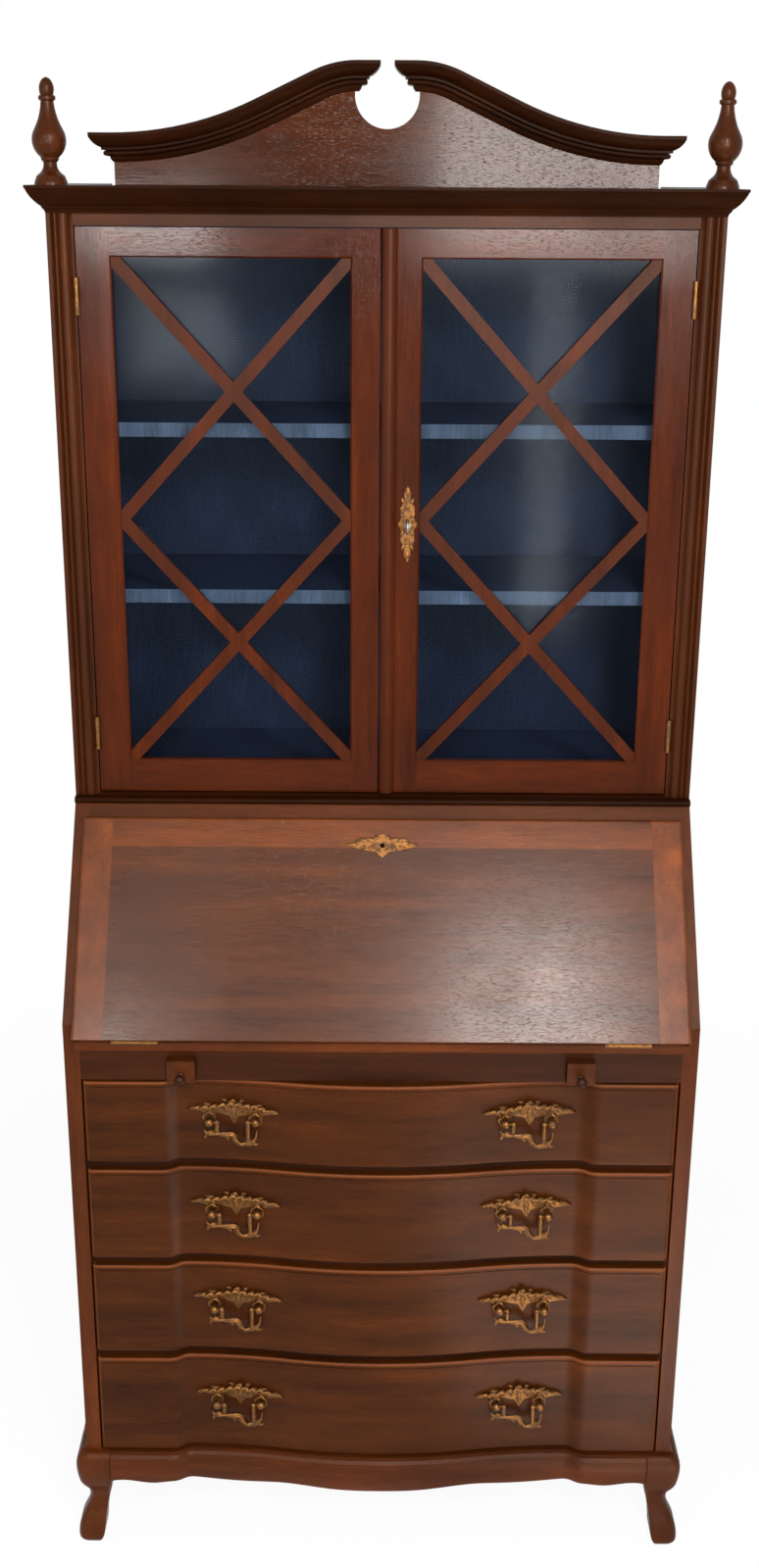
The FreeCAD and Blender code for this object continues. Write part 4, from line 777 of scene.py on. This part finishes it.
def bail_branch(number, side, props, material):
    """Leafy branch that covers one bail and swings with it."""
    low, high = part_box("drawer_%d_bail_%s" % (number, side))
    centre = ((low.x + high.x) / 2, (low.y + high.y) / 2, high.z - props.bail_eye)
    name = "drawer_%d_branch_%s" % (number, side)
    work = Casting(name, [], centre, (1, 0, 0), (0, 0, 1))
    work.stem(scaled([(*spot, 0) for spot in BAIL_BRANCH]), props.branch_thick, BRANCH_TURNS)
    for base, tip, width, bend in BAIL_LEAVES:
        work.leaf(*scaled((base, tip)), width * MM, props.relief, bend)
    work.settle(material, "drawer_%d_%s_bail" % (number, side))


def pull_garland(number, side, props, material):
    """Leafy branch, rosettes and pendant over one pull's plate."""
    low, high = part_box("drawer_%d_bail_%s" % (number, side))
    axis = high.z - props.bail_eye
    centre = ((low.x + high.x) / 2, low.y, axis)
    name = "drawer_%d_garland_%s" % (number, side)
    work = Casting(name, ["drawer_%d_front" % number], centre, (1, 0, 0), (0, 0, 1))
    plate = props.plate_thick
    for base, tip, width, bend in PULL_LEAVES:
        work.leaf(*scaled((base, tip)), width * MM, plate + props.relief, bend)
    work.stem(scaled(PULL_STEM), props.stem_thick, STEM_TURNS)
    work.curl([part * MM for part in CREST_RING], plate + props.relief, props.stem_thick * CREST_THICK)
    for x in (-props.post_at, props.post_at):
        work.rosette((x, 0), props.rosette_r, PETALS, plate + props.relief * ROSETTE_RISE)
        work.curl((x, 0, POST_RING * MM), plate + props.relief * RING_RISE, props.stem_thick * RING_THICK)
    work.settle(material, "drawer_%d" % number)


class BUREAU_OT_fittings(bpy.types.Operator):
    """Cast garlands over the pulls and leaves over the keyhole plates."""

    bl_idname = "bureau.fittings"
    bl_label = "Cast the fittings"

    def execute(self, context):
        props = context.scene.bureau_fittings
        brass = bpy.data.materials["cast_brass"]
        for number in DRAWERS:
            for side in ("left", "right"):
                pull_garland(number, side, props, brass)
                bail_branch(number, side, props, brass)
        slope = props.fall_slope
        rise = props.keyplate_thick + props.relief * KEYPLATE_RISE
        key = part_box("door_key")
        fall = Casting("fall_plate_leaves", ["fall_panel", "fall_bands"], props.fall_keyhole,
                       (1, 0, 0), (0, sin(slope), cos(slope)))
        middle = ((key[0].x + key[1].x) / 2, key[0].y, (key[0].z + key[1].z) / 2)
        door = Casting("door_plate_leaves", ["right_door_frame"], middle, (1, 0, 0), (0, 0, 1))
        for work, leaves, body in ((fall, FALL_LEAVES, "fall"), (door, DOOR_LEAVES, "right_door")):
            for base, tip, width, bend in leaves:
                for sign in (-1, 1):
                    ends = [(sign * x * MM, z * MM) for x, z in (base, tip)]
                    work.leaf(*ends, width * MM, rise, bend * sign)
            work.settle(brass, body)
        return {"FINISHED"}


# Lamps: power, place, the point each one faces, and width and height, in metres
LAMPS = {
    "key": ("key_light", (-0.9, -3.8, 3.0), (0, 0, 0.9), (1.6, 1.6)),
    "fill": ("fill_light", (-2.4, -2.2, 1.4), (0, 0, 0.8), (1.4, 1.4)),
    "fall_window": ("window_light", (0.44, -2.17, 2.53), (0.2, -0.16, 0.86), (0.25, 0.5)),
    "fall_side": ("side_light", (-0.84, -2.25, 2.5), (-0.36, -0.19, 0.82), (0.3, 0.4)),
    "pane": ("pane_light", (0.57, -3.2, 1.86), (0.2, 0, 1.83), (0.84, 0.5)),
    "strip": ("strip_light", (0.52, -3.2, 1.0), (0.2, 0, 1.4), (0.12, 1.1)),
    "corner": ("corner_light", (-0.70, -3.2, 1.69), (-0.29, 0, 1.76), (0.4, 0.14)),
    "patch": ("patch_light", (-0.62, -3.2, 1.36), (-0.25, 0, 1.6), (0.3, 0.25)),
    "floor_bounce": ("bounce_light", (0.47, -0.78, 0.02), (0.47, -0.77, 1.0), (0.5, 0.8)),
}


class BUREAU_OT_studio(bpy.types.Operator):
    """Set the floor, the soft lamps and the camera."""

    bl_idname = "bureau.studio"
    bl_label = "Set up the studio"

    def execute(self, context):
        props = context.scene.bureau_studio
        context.scene.view_settings.view_transform = "Standard"
        floor_piece(props)
        surround(context.scene, props)
        for name, (strength, *setting) in LAMPS.items():
            soft_lamp(name, getattr(props, strength), *setting)
        camera(context.scene, props)
        return {"FINISHED"}


# Floor: half its size, its haze, and where it turns from shadowed to plain white
FLOOR_HALF, HAZE_SCALE, HAZE_TONES, FLOOR_ROUGH = 30, 1.2, ((0.2, 0.98), (0.8, 1.0)), 0.9
SHADOW_NEAR, SHADOW_FAR = 0.7, 2.0
SENSOR = 36


def floor_piece(props):
    """Large pale floor that looks white to the camera away from the shadow."""
    mesh = bpy.data.meshes.new("floor")
    grid = bmesh.new()
    bmesh.ops.create_grid(grid, x_segments=1, y_segments=1, size=FLOOR_HALF)
    grid.to_mesh(mesh)
    grid.free()
    floor = bpy.data.objects.new("floor", mesh)
    bpy.context.scene.collection.objects.link(floor)
    pale = Finish("floor")
    haze = pale.streaks(EVEN, HAZE_SCALE, 3)
    tone = pale.ramp(haze, [(place, times(WHITE, props.floor_shade * part)) for place, part in HAZE_TONES])
    pale.surface(Base_Color=tone, Roughness=FLOOR_ROUGH, Specular_IOR_Level=0.0)
    path = [pale.node("ShaderNodeLightPath", output=ray) for ray in SEEN_RAYS]
    seen = path[0] + path[1] + path[2]
    away = pale.node("ShaderNodeVectorMath", {"operation": "LENGTH"}, {0: pale.place()}, "Value")
    white = props.floor_glow + (1 - props.floor_glow) * pale.smooth(away, SHADOW_NEAR, SHADOW_FAR)
    glow = pale.node("ShaderNodeEmission", None, {"Color": opaque(WHITE), "Strength": 1})
    lit = Flow(pale, pale.shader.outputs[0])
    both = pale.node("ShaderNodeMixShader", None, {0: seen * white, 1: lit, 2: glow})
    pale.feed(pale.tree.nodes["Material Output"].inputs["Surface"], both)
    mesh.materials.append(pale.material)


def surround(scene, props):
    """Even light that the camera, metal and panes see as white."""
    world = bpy.data.worlds.new("surround")
    world.use_nodes = True
    scene.world = world
    tree = world.node_tree
    path = tree.nodes.new("ShaderNodeLightPath")
    seen = path.outputs[SEEN_RAYS[0]]
    for ray in SEEN_RAYS[1:]:
        either = tree.nodes.new("ShaderNodeMath")
        either.operation = "MAXIMUM"
        tree.links.new(seen, either.inputs[0])
        tree.links.new(path.outputs[ray], either.inputs[1])
        seen = either.outputs[0]
    level = tree.nodes.new("ShaderNodeMapRange")
    level.inputs["To Min"].default_value = props.world_light
    level.inputs["To Max"].default_value = 1
    tree.links.new(seen, level.inputs["Value"])
    back = tree.nodes["Background"]
    back.inputs["Color"].default_value = opaque(WHITE)
    tree.links.new(level.outputs[0], back.inputs["Strength"])


def soft_lamp(name, watts, place, target, size):
    """Lamp of a width and height, turned to a point of the object."""
    lamp = bpy.data.lights.new(name, "AREA")
    lamp.energy = watts
    lamp.shape = "RECTANGLE"
    lamp.size, lamp.size_y = size
    holder = bpy.data.objects.new(name, lamp)
    holder.location = place
    holder.rotation_euler = (Vector(target) - Vector(place)).to_track_quat("-Z", "Y").to_euler()
    bpy.context.scene.collection.objects.link(holder)


def camera(scene, props):
    """Camera at the photograph's standpoint."""
    lens = bpy.data.cameras.new("camera")
    lens.lens = props.lens
    lens.sensor_width = SENSOR
    lens.shift_y = props.frame_shift
    holder = bpy.data.objects.new("camera", lens)
    tilt = Matrix.Rotation(pi / 2 - props.pitch, 4, "X") @ Matrix.Rotation(props.roll, 4, "Z")
    holder.matrix_world = Matrix.Translation(props.camera_place) @ tilt
    scene.collection.objects.link(holder)
    scene.camera = holder


class BUREAU_PT_panel(bpy.types.Panel):
    """Lists the steps that dress the bureau."""

    bl_label = "Bureau bookcase"
    bl_space_type = "VIEW_3D"
    bl_region_type = "UI"
    bl_category = "Bureau"

    def draw(self, context):
        for step in STEPS:
            self.layout.operator(step.bl_idname)


GROUPS = {
    "bureau_finishes": BureauFinishes,
    "bureau_fittings": BureauFittings,
    "bureau_studio": BureauStudio,
}
STEPS = (BUREAU_OT_finishes, BUREAU_OT_fittings, BUREAU_OT_studio)


def register():
    """Add the property groups, steps and panel."""
    for name, group in GROUPS.items():
        bpy.utils.register_class(group)
        setattr(bpy.types.Scene, name, bpy.props.PointerProperty(type=group))
    for step in STEPS:
        bpy.utils.register_class(step)
    bpy.utils.register_class(BUREAU_PT_panel)


def unregister():
    """Take the panel, steps and property groups away."""
    bpy.utils.unregister_class(BUREAU_PT_panel)
    for step in reversed(STEPS):
        bpy.utils.unregister_class(step)
    for name, group in GROUPS.items():
        delattr(bpy.types.Scene, name)
        bpy.utils.unregister_class(group)


def main():
    """Dress the bureau."""
    register()
    bpy.ops.bureau.finishes()
    bpy.ops.bureau.fittings()
    bpy.ops.bureau.studio()


if __name__ == "__main__":
    main()
